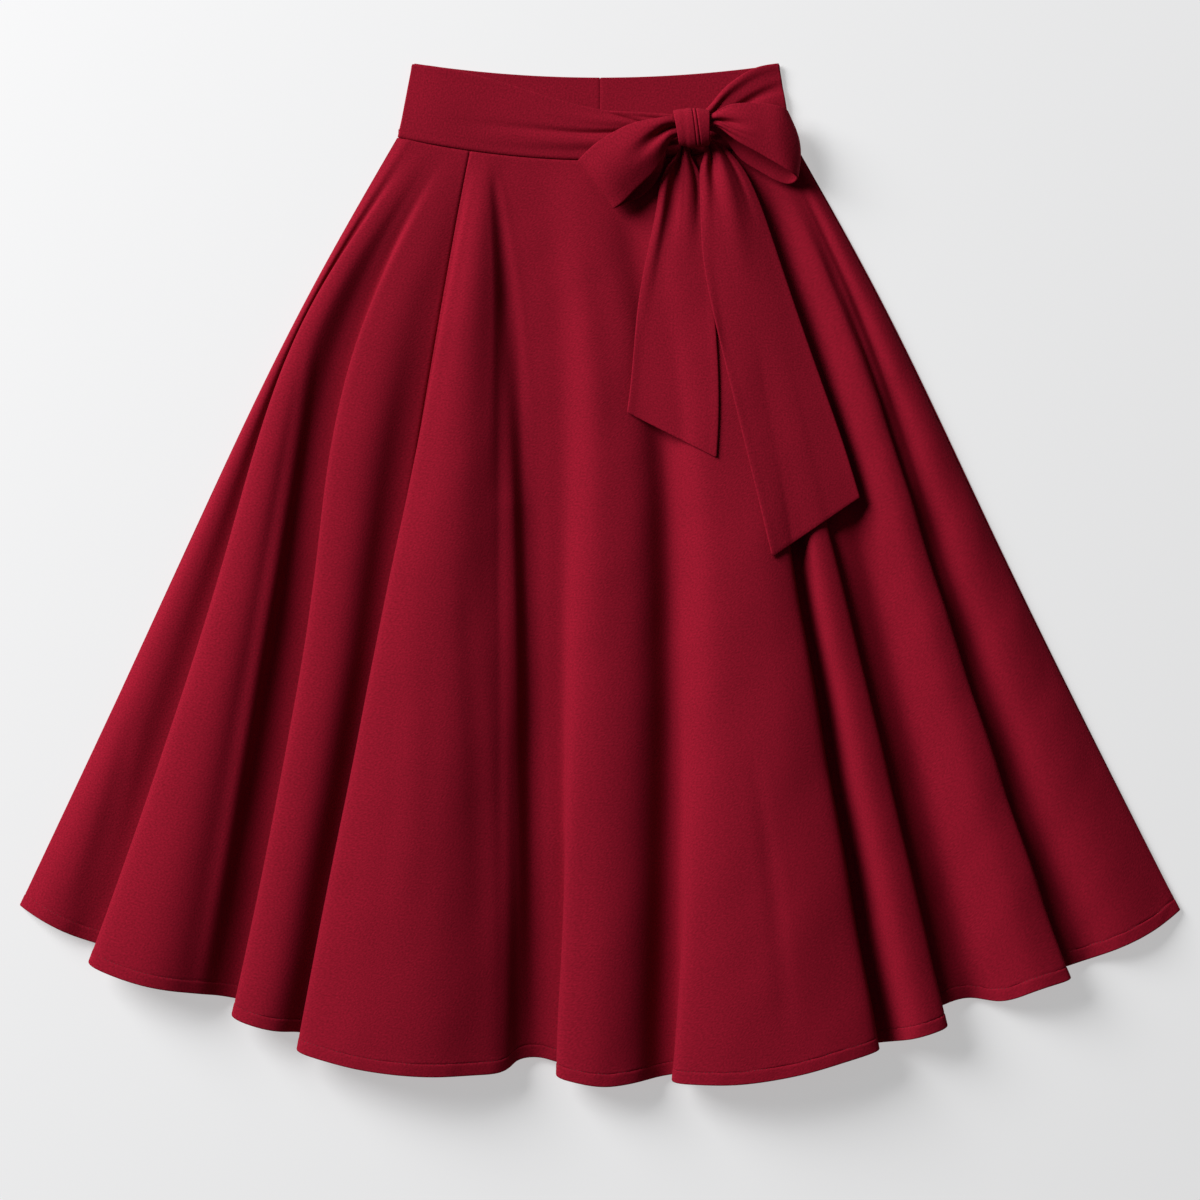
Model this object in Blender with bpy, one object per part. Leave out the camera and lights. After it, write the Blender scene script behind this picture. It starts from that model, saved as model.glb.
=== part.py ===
"""Flared midi skirt with a wide waistband and a tie bow, laid flat with its front up.

The garment lies on the plane z = 0, the waist towards +Y, the hem towards -Y, and +X is to the
right when it is seen from above. The origin is the middle of its outline, on that plane.
Each cut piece is a grid of points across the middle of its cloth, given a wall along the grid's
normals. Lengths in the tables are millimetres.
"""

import bpy
import numpy as np
from mathutils import Vector
from mathutils.bvhtree import BVHTree

MM = 0.001

# Walls and clearances
CLOTH_WALL = 1.5
BAND_WALL = 2.0
TIE_WALL = 1.5
SEAM_GAP = 0.3
WAIST_SEAM_GAP = 0.4
LAYER_GAP = 0.6

# How a tie that lies on a panel follows it: how far round each point the panel counts, how soon
# the tie starts to rise, and a height above everything
LIFT_REACH = 3.0
LIFT_SOFTNESS = 1.2
LOOK_DOWN_FROM = 200.0

# Waist
WAIST_HALF_WIDTH = 172.0
WAIST_MIDDLE_Y = 350.5
WAIST_SIDE_RISE = 19.5
BAND_TOP_HALF_WIDTH = 158.0
BAND_TOP_MIDDLE_Y = 421.0
BAND_TOP_SIDE_RISE = 12.0
FRONT_WAIST_Z = 4.6
BACK_SIDE_MARGIN = 0.3

# The right side is narrower than the left one. Here -1 stands for the left side and 1 for the right.
WAIST_SIDE_WIDTHS = {-1: WAIST_HALF_WIDTH, 1: 163.5}
BAND_TOP_SIDE_WIDTHS = {-1: BAND_TOP_HALF_WIDTH, 1: 151.5}

# Hem of the back
BACK_HEM_HALF_WIDTH = 491.0
BACK_HEM_SIDE_Y = -283.0
BACK_HEM_DEPTH = 117.0
BACK_SIDE_BOWS = {-1: (0.0, 10.0, 9.5, 0.0), 1: (0.0, 6.5, 2.5, 0.0)}

# Sections of the skirt, as shares of the way from the waist seam to the hem
SECTION_STATIONS = (0.0, 0.2, 0.5, 1.0)
SECTIONS = (0.0, 0.04, 0.09, 0.15, 0.22, 0.3, 0.39, 0.48, 0.57, 0.66, 0.75, 0.84, 0.92, 1.0)
BACK_SECTIONS = (0.0, 0.15, 0.3, 0.5, 0.75, 1.0)

# How softly the folds rise from the waist, and the share of the way by which those of the side
# panels start later
RISE_SOFTNESS = 0.6
SIDE_START = 0.08

# Grid steps from one fold line to the next, and the least cosine that a bend is reckoned with
FRONT_STEPS = 2
BEND_LIMIT = 0.75

# Fold lines of the front, from the left side seam to the right one. Each runs from the waist to
# the hem: x at a fifth and at half of the way down, x and y at the hem, and the height at the hem.
FRONT_LINE_COLUMNS = ("name", "x_fifth", "x_half", "x_hem", "y_hem", "z_hem")
FRONT_LINES = (
    ("side_left", -246, -340.5, -493, -282, 2.7),
    ("left_roll", -245, -336.5, -479, -291, 10.5),
    ("left_crest", -244, -328, -457, -303, 12),
    ("left_foot", -242, -313, -428, -314, 6),
    ("fold1_inner", -240, -307, -414, -320, 8),
    ("fold1_edge", -244, -316, -432, -328, 20),
    ("fold1_crest", -237, -305, -415, -339, 30),
    ("fold1_slope", -227, -281, -347, -355, 24.5),
    ("fold1_foot", -217, -266, -325, -358, 10.5),
    ("fold1_floor", -208, -247, -305, -362, 4.5),
    ("fold2_inner", -198, -234, -296, -365, 7),
    ("fold2_edge", -200, -242, -311, -373, 18),
    ("fold2_crest", -192, -229, -296, -382, 27),
    ("fold2_slope", -163, -201, -268, -388, 21.5),
    ("fold2_foot", -146, -183, -247, -391, 8.5),
    ("fold3_inner", -134, -172, -238, -395, 9),
    ("fold3_edge", -135, -181, -256, -402, 21),
    ("fold3_crest", -128, -170, -236, -411, 32),
    ("fold3_top", -119, -149, -196, -420, 38.5),
    ("fold3_back", -108, -123, -140, -425, 38.5),
    ("fold3_slope", -96, -99, -103, -424, 29.5),
    ("fold3_end", -86, -82, -79, -420, 19.5),
    ("valley_wall", -78, -73, -72, -414, 10.5),
    ("valley_floor", -62, -54, -47, -412, 4.5),
    ("valley_side", -46, -42, -36, -415, 5.5),
    ("fold4_inner", -32, -29, -26, -418, 8),
    ("fold4_edge", -21, -22, -36, -424, 17),
    ("fold4_crest", -10, -8, -20, -431, 27),
    ("fold4_top", 6, 14, 9, -434, 28.5),
    ("fold4_slope", 30, 43, 36, -430, 18),
    ("fold4_foot", 44, 59, 52, -427, 6),
    ("fold5_inner", 53, 68, 68, -425, 9.5),
    ("fold5_edge", 61, 78, 62, -429, 20),
    ("fold5_crest", 71, 90, 81, -432, 32),
    ("fold5_top", 85, 110, 123, -431, 38),
    ("fold5_back", 104, 136, 170, -423, 39),
    ("fold5_slope", 121, 158, 212, -411, 35),
    ("fold6_edge", 128, 168, 235, -402, 26),
    ("fold6_inner", 130, 161, 218, -401, 12),
    ("fold6_foot", 135, 173, 241, -398, 7.5),
    ("fold7_crest", 142, 187, 268, -393, 27),
    ("fold7_slope", 148, 199, 284, -388, 28),
    ("fold7_edge", 151, 205, 293, -383, 23),
    ("fold7_inner", 154, 197, 279, -375, 16),
    ("fold7_foot", 162, 208, 291, -366, 12),
    ("fold7_floor", 175, 229, 320, -361, 4.3),
    ("fold8_rise", 186, 243, 338, -363, 12),
    ("fold8_crest", 197, 259, 362, -356, 24),
    ("fold8_slope", 206, 273, 385, -348, 25),
    ("fold8_edge", 208, 279, 397, -343, 20),
    ("fold8_inner", 211, 271, 383, -339, 13.5),
    ("fold8_foot", 214, 280, 394, -334, 10),
    ("fold8_floor", 218, 290, 414, -328, 4.3),
    ("right_crest", 224, 304, 438, -319, 12),
    ("right_roll", 231, 324, 476, -299, 9),
    ("side_right", 234.5, 329, 493, -286, 2.7),
)

FRONT_LINE_NAMES = [row[0] for row in FRONT_LINES]

# The seams between the front panels lie halfway from these lines to the next ones
FRONT_PANELS = ("front_side_left", "front_centre", "front_side_right")
FRONT_SEAMS = ("fold2_foot", "fold6_inner")

# Where these lines leave the waist seam. The lines between two of them are evenly spaced.
WAIST_ANCHORS = (
    ("side_left", -171.5),
    ("fold2_foot", -113.0),
    ("fold3_inner", -108.0),
    ("valley_wall", -85.0),
    ("fold6_inner", 108.0),
    ("fold6_foot", 113.0),
    ("side_right", 163.0),
)

# Sections along the band and the ties: the cloth's two edges, and how far it bulges between them.
# Where a_y is ON_SEAM, the edge lies on the waist seam.
ON_SEAM = np.nan
RIBBON_COLUMNS = ("a_x", "a_y", "a_z", "b_x", "b_y", "b_z", "crown")
BAND_LEFT = (
    (-171.5, ON_SEAM, 2.9, -159.5, 432.2, 2.9, 0.4),
    (-156.0, ON_SEAM, 4.4, -146.0, 430.8, 4.2, 0.8),
    (-110.0, ON_SEAM, 4.8, -98.0, 420.8, 4.8, 1.0),
    (-62.0, ON_SEAM, 4.8, -44.0, 404.6, 5.0, 1.2),
    (-18.0, ON_SEAM, 4.8, -1.0, 393.6, 5.6, 1.0),
    (30.0, ON_SEAM, 4.8, 34.0, 391.0, 6.0, 0.6),
    (58.0, ON_SEAM, 4.8, 61.0, 389.3, 5.6, 0.2),
    (77.0, ON_SEAM, 4.8, 77.0, 388.5, 5.2, 0.0),
)
BAND_RIGHT = (
    (77.6, ON_SEAM, 4.8, 77.6, 388.6, 5.2, 0.0),
    (95.0, ON_SEAM, 4.8, 91.5, 395.0, 5.8, 0.3),
    (110.0, ON_SEAM, 4.8, 102.0, 407.5, 5.8, 0.8),
    (127.0, ON_SEAM, 4.6, 117.0, 420.5, 5.2, 0.8),
    (147.0, ON_SEAM, 4.2, 134.5, 429.6, 4.4, 0.6),
    (163.0, ON_SEAM, 2.9, 152.0, 432.8, 2.9, 0.4),
)
LOOP_LEFT = (
    (70.6, 382.4, 23.0, 70.6, 370.5, 23.0, 0.0),
    (60.6, 385.6, 25.5, 62.6, 367.3, 24.5, 1.0),
    (47.7, 383.9, 28.0, 57.6, 362.2, 26.0, 2.5),
    (29.8, 380.4, 28.5, 51.7, 349.3, 26.0, 5.0),
    (10.9, 372.1, 27.0, 42.8, 336.5, 24.5, 6.5),
    (-5.0, 361.9, 24.5, 28.8, 323.3, 22.0, 5.5),
    (-14.9, 352.8, 20.5, 16.4, 311.6, 18.5, 3.0),
    (-18.4, 349.2, 16.0, 12.5, 308.9, 14.8, 0.5),
    (-14.5, 351.5, 12.8, 17.0, 311.2, 12.0, -0.4),
    (0.0, 358.1, 11.6, 32.9, 318.2, 11.6, 0.0),
    (20.9, 366.4, 12.6, 48.9, 334.0, 12.6, 0.6),
    (42.8, 375.2, 15.0, 55.8, 354.3, 15.0, 0.6),
    (58.7, 379.8, 19.3, 61.7, 369.8, 19.3, 0.2),
    (70.7, 381.2, 20.0, 70.7, 371.7, 20.0, 0.0),
)
LOOP_RIGHT = (
    (84.0, 383.6, 23.0, 84.0, 371.6, 23.0, 0.0),
    (95.0, 388.0, 25.5, 97.5, 377.4, 25.0, 0.6),
    (106.5, 394.3, 27.0, 111.5, 368.0, 27.0, 2.5),
    (122.0, 396.8, 27.5, 127.0, 358.5, 28.0, 4.5),
    (138.5, 396.6, 26.5, 142.0, 350.0, 28.0, 5.0),
    (150.5, 394.4, 24.0, 155.5, 342.0, 26.5, 4.0),
    (156.5, 391.6, 20.0, 163.5, 336.5, 22.5, 4.0),
    (158.8, 388.5, 15.5, 166.8, 333.5, 17.5, 6.0),
    (156.5, 385.5, 12.6, 162.0, 329.8, 13.2, 1.0),
    (148.0, 385.5, 11.8, 151.5, 331.5, 12.2, 0.0),
    (133.5, 388.0, 11.8, 136.0, 340.0, 12.2, 0.0),
    (118.5, 389.8, 12.8, 119.5, 350.8, 12.8, 0.0),
    (104.0, 387.6, 15.0, 109.0, 363.6, 14.4, 0.0),
    (95.0, 384.2, 19.0, 96.5, 373.2, 19.0, 0.0),
    (84.0, 382.0, 20.0, 84.0, 372.5, 20.0, 0.0),
)
TAIL_SHORT = (
    (70.0, 367.5, 9.0, 79.0, 367.5, 9.0, 0.4),
    (66.0, 357.5, 9.5, 84.0, 357.5, 9.5, 1.6),
    (57.5, 345.0, 10.5, 87.5, 342.0, 10.0, 2.2),
    (49.0, 317.0, 12.0, 90.0, 309.0, 11.0, 2.0),
    (41.0, 275.0, 12.5, 93.5, 262.0, 12.5, 1.6),
    (33.0, 232.0, 13.0, 97.0, 219.0, 14.0, 1.2),
    (28.0, 181.0, 14.0, 100.0, 172.5, 17.0, 0.8),
    (24.5, 147.0, 15.0, 100.0, 121.0, 20.0, 0.6),
    (23.0, 136.0, 15.0, 98.5, 97.0, 21.0, 0.4),
)
TAIL_LONG = (
    (78.5, 368.5, 12.7, 93.0, 368.5, 12.7, 0.2),
    (84.5, 357.5, 12.8, 105.0, 361.0, 12.2, 1.2),
    (87.0, 345.5, 13.4, 117.5, 348.5, 12.5, 3.8),
    (84.5, 325.5, 15.0, 128.5, 329.5, 13.5, 5.0),
    (86.5, 274.5, 17.5, 147.5, 279.0, 14.0, 4.0),
    (95.0, 223.5, 19.5, 167.5, 219.5, 15.0, 3.0),
    (108.0, 168.5, 19.5, 186.0, 166.5, 16.0, 2.2),
    (122.5, 109.0, 23.0, 202.5, 120.0, 17.0, 1.6),
    (134.5, 59.5, 25.0, 212.5, 89.0, 18.0, 1.0),
    (145.5, 13.0, 26.0, 220.0, 64.0, 18.0, 0.6),
)

# Gathers: soft ridges, or valleys where the height is below 0, that run along a tie. The knot
# squeezes them low, and they die out away from it.
KNOT_SQUEEZE = 0.15
SQUEEZE_END = 26.0
GATHER_COLUMNS = ("share_at_knot", "share_at_end", "height", "half_width", "reach")
BAND_LEFT_GATHERS = (
    (0.9, 0.99, 2.6, 0.14, 0.5),
    (0.72, 0.74, -1.6, 0.12, 0.4),
    (0.5, 0.4, 2.4, 0.2, 0.6),
)
BAND_RIGHT_GATHERS = (
    (0.92, 0.98, 3.0, 0.14, 0.8),
    (0.7, 0.78, -1.8, 0.14, 0.7),
    (0.45, 0.6, 2.2, 0.2, 0.8),
)
LOOP_LEFT_GATHERS = (
    (0.15, 0.12, 2.2, 0.25, 0.3),
    (0.52, 0.5, -3.4, 0.24, 0.28),
    (0.82, 0.8, 1.8, 0.22, 0.28),
)
LOOP_RIGHT_GATHERS = (
    (0.12, 0.12, 2.2, 0.22, 0.3),
    (0.36, 0.3, -3.4, 0.2, 0.28),
    (0.66, 0.6, 2.0, 0.24, 0.3),
)
TAIL_SHORT_GATHERS = (
    (0.06, 0.04, 3.2, 0.14, 0.75),
    (0.3, 0.24, -2.4, 0.2, 0.6),
    (0.66, 0.6, 3.2, 0.3, 0.6),
)
TAIL_LONG_GATHERS = (
    (0.08, 0.06, 2.2, 0.16, 0.3),
    (0.3, 0.24, -2.6, 0.18, 0.26),
    (0.6, 0.5, 2.4, 0.26, 0.4),
)

# Knot: the tie wrapped once round the gathers, open underneath
KNOT_CENTRE = (77.2, 376.2, 23.4)
KNOT_HALF_LENGTH = 15.5
KNOT_RADIUS_Y = 16.2
KNOT_RADIUS_Z = 9.6
KNOT_WRAP_DEGREES = 152.0
KNOT_PINCH = 0.14
KNOT_WALL = 1.8

# Creases round the knot: place along it from -1 to 1, and depth as a share of its radius
KNOT_CREASE_COLUMNS = ("place", "depth", "half_width")
KNOT_CREASES = ((-0.62, 0.05, 0.25), (0.08, 0.1, 0.3))

COLOUR = (0.36, 0.012, 0.035, 1.0)


def natural_spline(knots, points, at):
    """Points at the parameters "at" on the natural cubic spline through points at knots."""
    knots, points, at = (np.asarray(x, float) for x in (knots, points, at))
    count, width = len(knots), np.diff(knots)[:, None]
    slope = np.diff(points, axis=0) / width
    matrix = np.eye(count)
    right_side = np.zeros_like(points)
    for i in range(1, count - 1):
        matrix[i, i - 1 : i + 2] = (
            width[i - 1, 0],
            2 * (width[i - 1, 0] + width[i, 0]),
            width[i, 0],
        )
        right_side[i] = 6 * (slope[i] - slope[i - 1])
    bend = np.linalg.solve(matrix, right_side)
    span = np.clip(np.searchsorted(knots, at, side="right") - 1, 0, count - 2)
    h = width[span]
    ahead = (at - knots[span])[:, None] / h
    behind = 1 - ahead
    curve = (behind**3 - behind) * bend[span] + (ahead**3 - ahead) * bend[span + 1]
    return behind * points[span] + ahead * points[span + 1] + curve * h * h / 6


def chord_lengths(points):
    """Distance along the points of one section, from its first one."""
    return np.concatenate([[0.0], np.cumsum(np.linalg.norm(np.diff(points, axis=0), axis=1))])


def subdivided(knots, steps):
    """The knots with steps equal parts between each two of them."""
    parts = [np.linspace(a, b, steps, endpoint=False) for a, b in zip(knots[:-1], knots[1:])]
    return np.concatenate([*parts, knots[-1:]])


def by_column(names, table):
    """The columns of a table as arrays, by their names."""
    return {name: np.array(column) for name, column in zip(names, zip(*table))}


def smooth_bump(distance):
    """1 at distance 0, falling to 0 with a level end at distance 1."""
    return np.cos(np.clip(np.abs(distance), 0, 1) * np.pi / 2) ** 2


def waist_y(x):
    """The waist seam: a curve that dips in the middle."""
    return WAIST_MIDDLE_Y + WAIST_SIDE_RISE * (x / WAIST_HALF_WIDTH) ** 2


def band_top_y(x):
    """The upper edge of the back waistband."""
    return BAND_TOP_MIDDLE_Y + BAND_TOP_SIDE_RISE * (x / BAND_TOP_HALF_WIDTH) ** 2


def fabric():
    """The one cloth that the whole garment is cut from."""
    material = bpy.data.materials.new("crepe")
    material.use_nodes = True
    surface = material.node_tree.nodes["Principled BSDF"]
    surface.inputs["Base Color"].default_value = COLOUR
    surface.inputs["Roughness"].default_value = 0.75
    surface.inputs["Metallic"].default_value = 0.0
    return material


def mean_direction(grid, axis):
    """At each point, the sum of the unit steps to it and from it along one axis of the grid."""
    step = np.diff(grid, axis=axis)
    step /= np.linalg.norm(step, axis=-1, keepdims=True)
    first, last = step.take([0], axis=axis), step.take([-1], axis=axis)
    return np.concatenate([first, step], axis=axis) + np.concatenate([step, last], axis=axis)


def half_wall(grid, wall):
    """The step from the middle of the cloth to a face, longer in a bend to keep the wall even."""
    across = mean_direction(grid, 1)
    normal = np.cross(across, mean_direction(grid, 0))
    normal /= np.linalg.norm(normal, axis=-1, keepdims=True)
    bend = np.maximum(np.linalg.norm(across, axis=-1, keepdims=True) / 2, BEND_LIMIT)
    return normal * wall / 2 / bend


def thick_sheet(name, grid, half, material, collection):
    """A named closed solid: the cloth's middle is the grid, and half leads from it to one face."""
    rows, columns = grid.shape[:2]
    index = np.arange(rows * columns).reshape(rows, columns)
    top = np.stack([index[:-1, :-1], index[:-1, 1:], index[1:, 1:], index[1:, :-1]], axis=-1)
    top = top.reshape(-1, 4)
    under = top[:, ::-1] + rows * columns
    loop = np.concatenate([index[0], index[1:, -1], index[-1, -2::-1], index[-2:0:-1, 0]])
    ahead = np.roll(loop, -1)
    rim = np.stack([ahead, loop, loop + rows * columns, ahead + rows * columns], axis=-1)
    points = np.concatenate([(grid + half).reshape(-1, 3), (grid - half).reshape(-1, 3)])
    mesh = bpy.data.meshes.new(name)
    mesh.from_pydata((points * MM).tolist(), [], np.concatenate([top, under, rim]).tolist())
    mesh.materials.append(material)
    piece = bpy.data.objects.new(name, mesh)
    collection.objects.link(piece)
    return piece


def front_sections():
    """One array of points for each section of the front, a point for each fold line."""
    line = by_column(FRONT_LINE_COLUMNS, FRONT_LINES)
    anchors = [FRONT_LINE_NAMES.index(name) for name, _ in WAIST_ANCHORS]
    anchor_x = [x for _, x in WAIST_ANCHORS]
    x_waist = np.interp(range(len(FRONT_LINES)), anchors, anchor_x)
    z_waist = np.full(len(FRONT_LINES), FRONT_WAIST_Z)
    z_waist[[0, -1]] = line["z_hem"][[0, -1]]
    z_waist[[1, -2]] = (line["z_hem"][0] + FRONT_WAIST_Z) / 2
    stations = np.stack([x_waist, line["x_fifth"], line["x_half"], line["x_hem"]])
    x = natural_spline(SECTION_STATIONS, stations, SECTIONS)
    share = np.array(SECTIONS)[:, None]
    y_start = waist_y(x_waist) - WAIST_SEAM_GAP / 2
    y = y_start + (line["y_hem"] - y_start) * share
    first, last = (FRONT_LINE_NAMES.index(name) for name in FRONT_SEAMS)
    at_side = np.ones(len(FRONT_LINES))
    at_side[first + 1 : last + 1] = 0.0
    begun = share * (1 - at_side * np.exp(-share / SIDE_START))
    rise = (1 + RISE_SOFTNESS) * begun / (begun + RISE_SOFTNESS)
    z = z_waist + (line["z_hem"] - z_waist) * rise
    return np.stack([x, y, z], axis=-1)


def front_grid():
    """The grid of the whole front, and the step from it to one face of the cloth."""
    grid = []
    for points in front_sections():
        knots = chord_lengths(points)
        grid.append(natural_spline(knots, points, subdivided(knots, FRONT_STEPS)))
    grid = np.array(grid)
    return grid, half_wall(grid, CLOTH_WALL)


def front_panels():
    """The grid of each front panel, less half a gap at its seams, and the steps to one face."""
    whole, half = front_grid()
    across = mean_direction(whole, 1)
    across *= SEAM_GAP / 2 / np.linalg.norm(across, axis=-1, keepdims=True)
    lines = [FRONT_LINE_NAMES.index(name) for name in FRONT_SEAMS]
    seams = [line * FRONT_STEPS + FRONT_STEPS // 2 for line in lines]
    ends = [0, *seams, whole.shape[1] - 1]
    for start, end in zip(ends[:-1], ends[1:]):
        panel = whole[:, start : end + 1].copy()
        if start in seams:
            panel[:, 0] += across[:, start]
        if end in seams:
            panel[:, -1] -= across[:, end]
        yield panel, half[:, start : end + 1]


def back_panel(side, columns=8):
    """The grid of one half of the back. Side is -1 for the left half and 1 for the right."""
    across = np.linspace(0.0, 1.0, columns + 1)
    down = np.array(BACK_SECTIONS)[:, None]
    edge = np.where(across == 0, SEAM_GAP / 2, 0.0)
    x_waist = side * (across * (WAIST_SIDE_WIDTHS[side] + BACK_SIDE_MARGIN) + edge)
    x_hem = side * (across * BACK_HEM_HALF_WIDTH + edge)
    bow = natural_spline(SECTION_STATIONS, np.array(BACK_SIDE_BOWS[side])[:, None], BACK_SECTIONS)
    x = x_waist + (x_hem - x_waist) * down + side * across * bow
    y_hem = BACK_HEM_SIDE_Y - BACK_HEM_DEPTH * (1 - across**2)
    y_start = waist_y(x_waist) - WAIST_SEAM_GAP / 2
    y = y_start + (y_hem - y_start) * down
    return np.stack([x, y, np.full_like(x, CLOTH_WALL / 2)], axis=-1)


def back_band(side, columns=6, rows=2):
    """The grid of one half of the back waistband, lying flat."""
    across = np.linspace(0.0, 1.0, columns + 1)
    up = np.linspace(0.0, 1.0, rows + 1)[:, None]
    edge = np.where(across == 0, SEAM_GAP / 2, 0.0)
    low_x = side * (across * WAIST_SIDE_WIDTHS[side] + edge)
    high_x = side * (across * BAND_TOP_SIDE_WIDTHS[side] + edge)
    low_y, high_y = waist_y(low_x) + WAIST_SEAM_GAP / 2, band_top_y(high_x)
    x = low_x + (high_x - low_x) * up
    y = low_y + (high_y - low_y) * up
    return np.stack([x, y, np.full_like(x, CLOTH_WALL / 2)], axis=-1)


def ribbon(table, gathers, knot_first=True, steps=2, across_steps=8):
    """The grid of a tie: sections between two edges, a crown between them, and its gathers.

    The sections are joined by a spline along the tie. Knot_first says at which end the knot is.
    """
    section = by_column(RIBBON_COLUMNS, table)
    seam_y = waist_y(section["a_x"]) + WAIST_SEAM_GAP / 2
    section["a_y"] = np.where(np.isnan(section["a_y"]), seam_y, section["a_y"])
    rows = np.stack([section[name] for name in RIBBON_COLUMNS], axis=1)
    knots = chord_lengths((rows[:, 0:3] + rows[:, 3:6]) / 2)
    at = subdivided(knots, steps)
    smooth = natural_spline(knots, rows, at)
    a_edge, b_edge, crown = smooth[:, 0:3], smooth[:, 3:6], smooth[:, 6:7]
    facing = np.cross(np.gradient(a_edge + b_edge, axis=0), b_edge - a_edge)
    facing /= np.linalg.norm(facing, axis=1, keepdims=True)
    facing *= np.sign(facing[0 if knot_first else -1, 2])
    share = np.linspace(0.0, 1.0, across_steps + 1)
    distance = at if knot_first else at[-1] - at
    bulge = crown * np.sin(np.pi * share) + gathered(distance[:, None], share, gathers)
    across = (b_edge - a_edge)[:, None] * share[:, None]
    return a_edge[:, None] + across + facing[:, None] * bulge[:, :, None]


def gathered(distance, share, gathers):
    """The height that the gathers add, at a distance from the knot and a share of the width."""
    squeeze = KNOT_SQUEEZE + (1 - KNOT_SQUEEZE) * np.minimum(distance / SQUEEZE_END, 1)
    height = np.zeros(np.broadcast_shapes(distance.shape, share.shape))
    for row in gathers:
        gather = dict(zip(GATHER_COLUMNS, row))
        way = np.minimum(distance / distance.max() / gather["reach"], 1)
        line = gather["share_at_knot"] + (gather["share_at_end"] - gather["share_at_knot"]) * way
        ridge = smooth_bump((share - line) / gather["half_width"])
        height = height + gather["height"] * squeeze * smooth_bump(way) * ridge
    return height


def knot_wrap(columns=12, rows=18):
    """The grid of the knot: an oval tube round X, pinched at its ends and open underneath."""
    along = np.linspace(-1.0, 1.0, columns + 1)
    turn = np.radians(np.linspace(-KNOT_WRAP_DEGREES, KNOT_WRAP_DEGREES, rows + 1))[:, None]
    size = 1 - KNOT_PINCH * along**2
    for row in KNOT_CREASES:
        crease = dict(zip(KNOT_CREASE_COLUMNS, row))
        distance = (along - crease["place"]) / crease["half_width"]
        size = size - crease["depth"] * smooth_bump(distance)
    x = KNOT_CENTRE[0] + KNOT_HALF_LENGTH * along + 0 * turn
    y = KNOT_CENTRE[1] + KNOT_RADIUS_Y * size * np.sin(turn)
    z = KNOT_CENTRE[2] + KNOT_RADIUS_Z * size * np.cos(turn)
    return np.stack([x, y, z], axis=-1)


def tops_of(pieces):
    """A search tree over the surfaces of these pieces."""
    points, faces = [], []
    for piece in pieces:
        start = len(points)
        points += [v.co.copy() for v in piece.data.vertices]
        faces += [[start + i for i in p.vertices] for p in piece.data.polygons]
    return BVHTree.FromPolygons(points, faces)


def lifted(grid, under, wall):
    """The grid raised where it would touch what lies under it, with a soft start to the rise."""
    tree = tops_of(under)
    reach, softness = LIFT_REACH, LIFT_SOFTNESS
    offsets = [(0, 0), (reach, 0), (-reach, 0), (0, reach), (0, -reach)]
    clear = wall / 2 + LAYER_GAP
    out = grid.copy()
    for point in out.reshape(-1, 3):
        tops = []
        for dx, dy in offsets:
            start = Vector((point[0] + dx, point[1] + dy, LOOK_DOWN_FROM)) * MM
            hit = tree.ray_cast(start, Vector((0, 0, -1)))[0]
            if hit is not None:
                tops.append(hit.z / MM)
        if tops:
            floor = max(tops) + clear
            point[2] = floor + softness * np.logaddexp(0.0, (point[2] - floor) / softness)
    return out


def clear_scene():
    for old in list(bpy.data.objects):
        bpy.data.objects.remove(old)


def main():
    clear_scene()
    cloth = fabric()
    skirt = bpy.data.collections.new("flared_skirt")
    bpy.context.scene.collection.children.link(skirt)

    def add(name, grid, wall):
        return thick_sheet(name, grid, half_wall(grid, wall), cloth, skirt)

    add("back_panel_left", back_panel(-1), CLOTH_WALL)
    add("back_panel_right", back_panel(1), CLOTH_WALL)
    add("waistband_back_left", back_band(-1), CLOTH_WALL)
    add("waistband_back_right", back_band(1), CLOTH_WALL)
    front = [
        thick_sheet(name, grid, half, cloth, skirt)
        for name, (grid, half) in zip(FRONT_PANELS, front_panels())
    ]
    left_band = ribbon(BAND_LEFT, BAND_LEFT_GATHERS, knot_first=False)
    right_band = ribbon(BAND_RIGHT, BAND_RIGHT_GATHERS)
    under = [
        *front,
        add("waistband_front_left", left_band, BAND_WALL),
        add("waistband_front_right", right_band, BAND_WALL),
    ]
    short_tail = lifted(ribbon(TAIL_SHORT, TAIL_SHORT_GATHERS), under, TIE_WALL)
    under.append(add("tie_tail_short", short_tail, TIE_WALL))
    long_tail = lifted(ribbon(TAIL_LONG, TAIL_LONG_GATHERS), under, TIE_WALL)
    add("tie_tail_long", long_tail, TIE_WALL)
    add("bow_loop_left", ribbon(LOOP_LEFT, LOOP_LEFT_GATHERS), TIE_WALL)
    add("bow_loop_right", ribbon(LOOP_RIGHT, LOOP_RIGHT_GATHERS), TIE_WALL)
    add("bow_knot", knot_wrap(), KNOT_WALL)


main()
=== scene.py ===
"""The looks of a flared midi skirt with a tie bow, laid flat on a pale floor, as a Blender add-on.

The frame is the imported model's: +X to the right of the photograph, +Y towards the waist, +Z up from
the floor. Shapes are worked out in millimetres, as whole arrays, from the short tables below, and
each cut piece is a closed shell of cloth round the middle surface of the solid that it stands for.
"""

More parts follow.
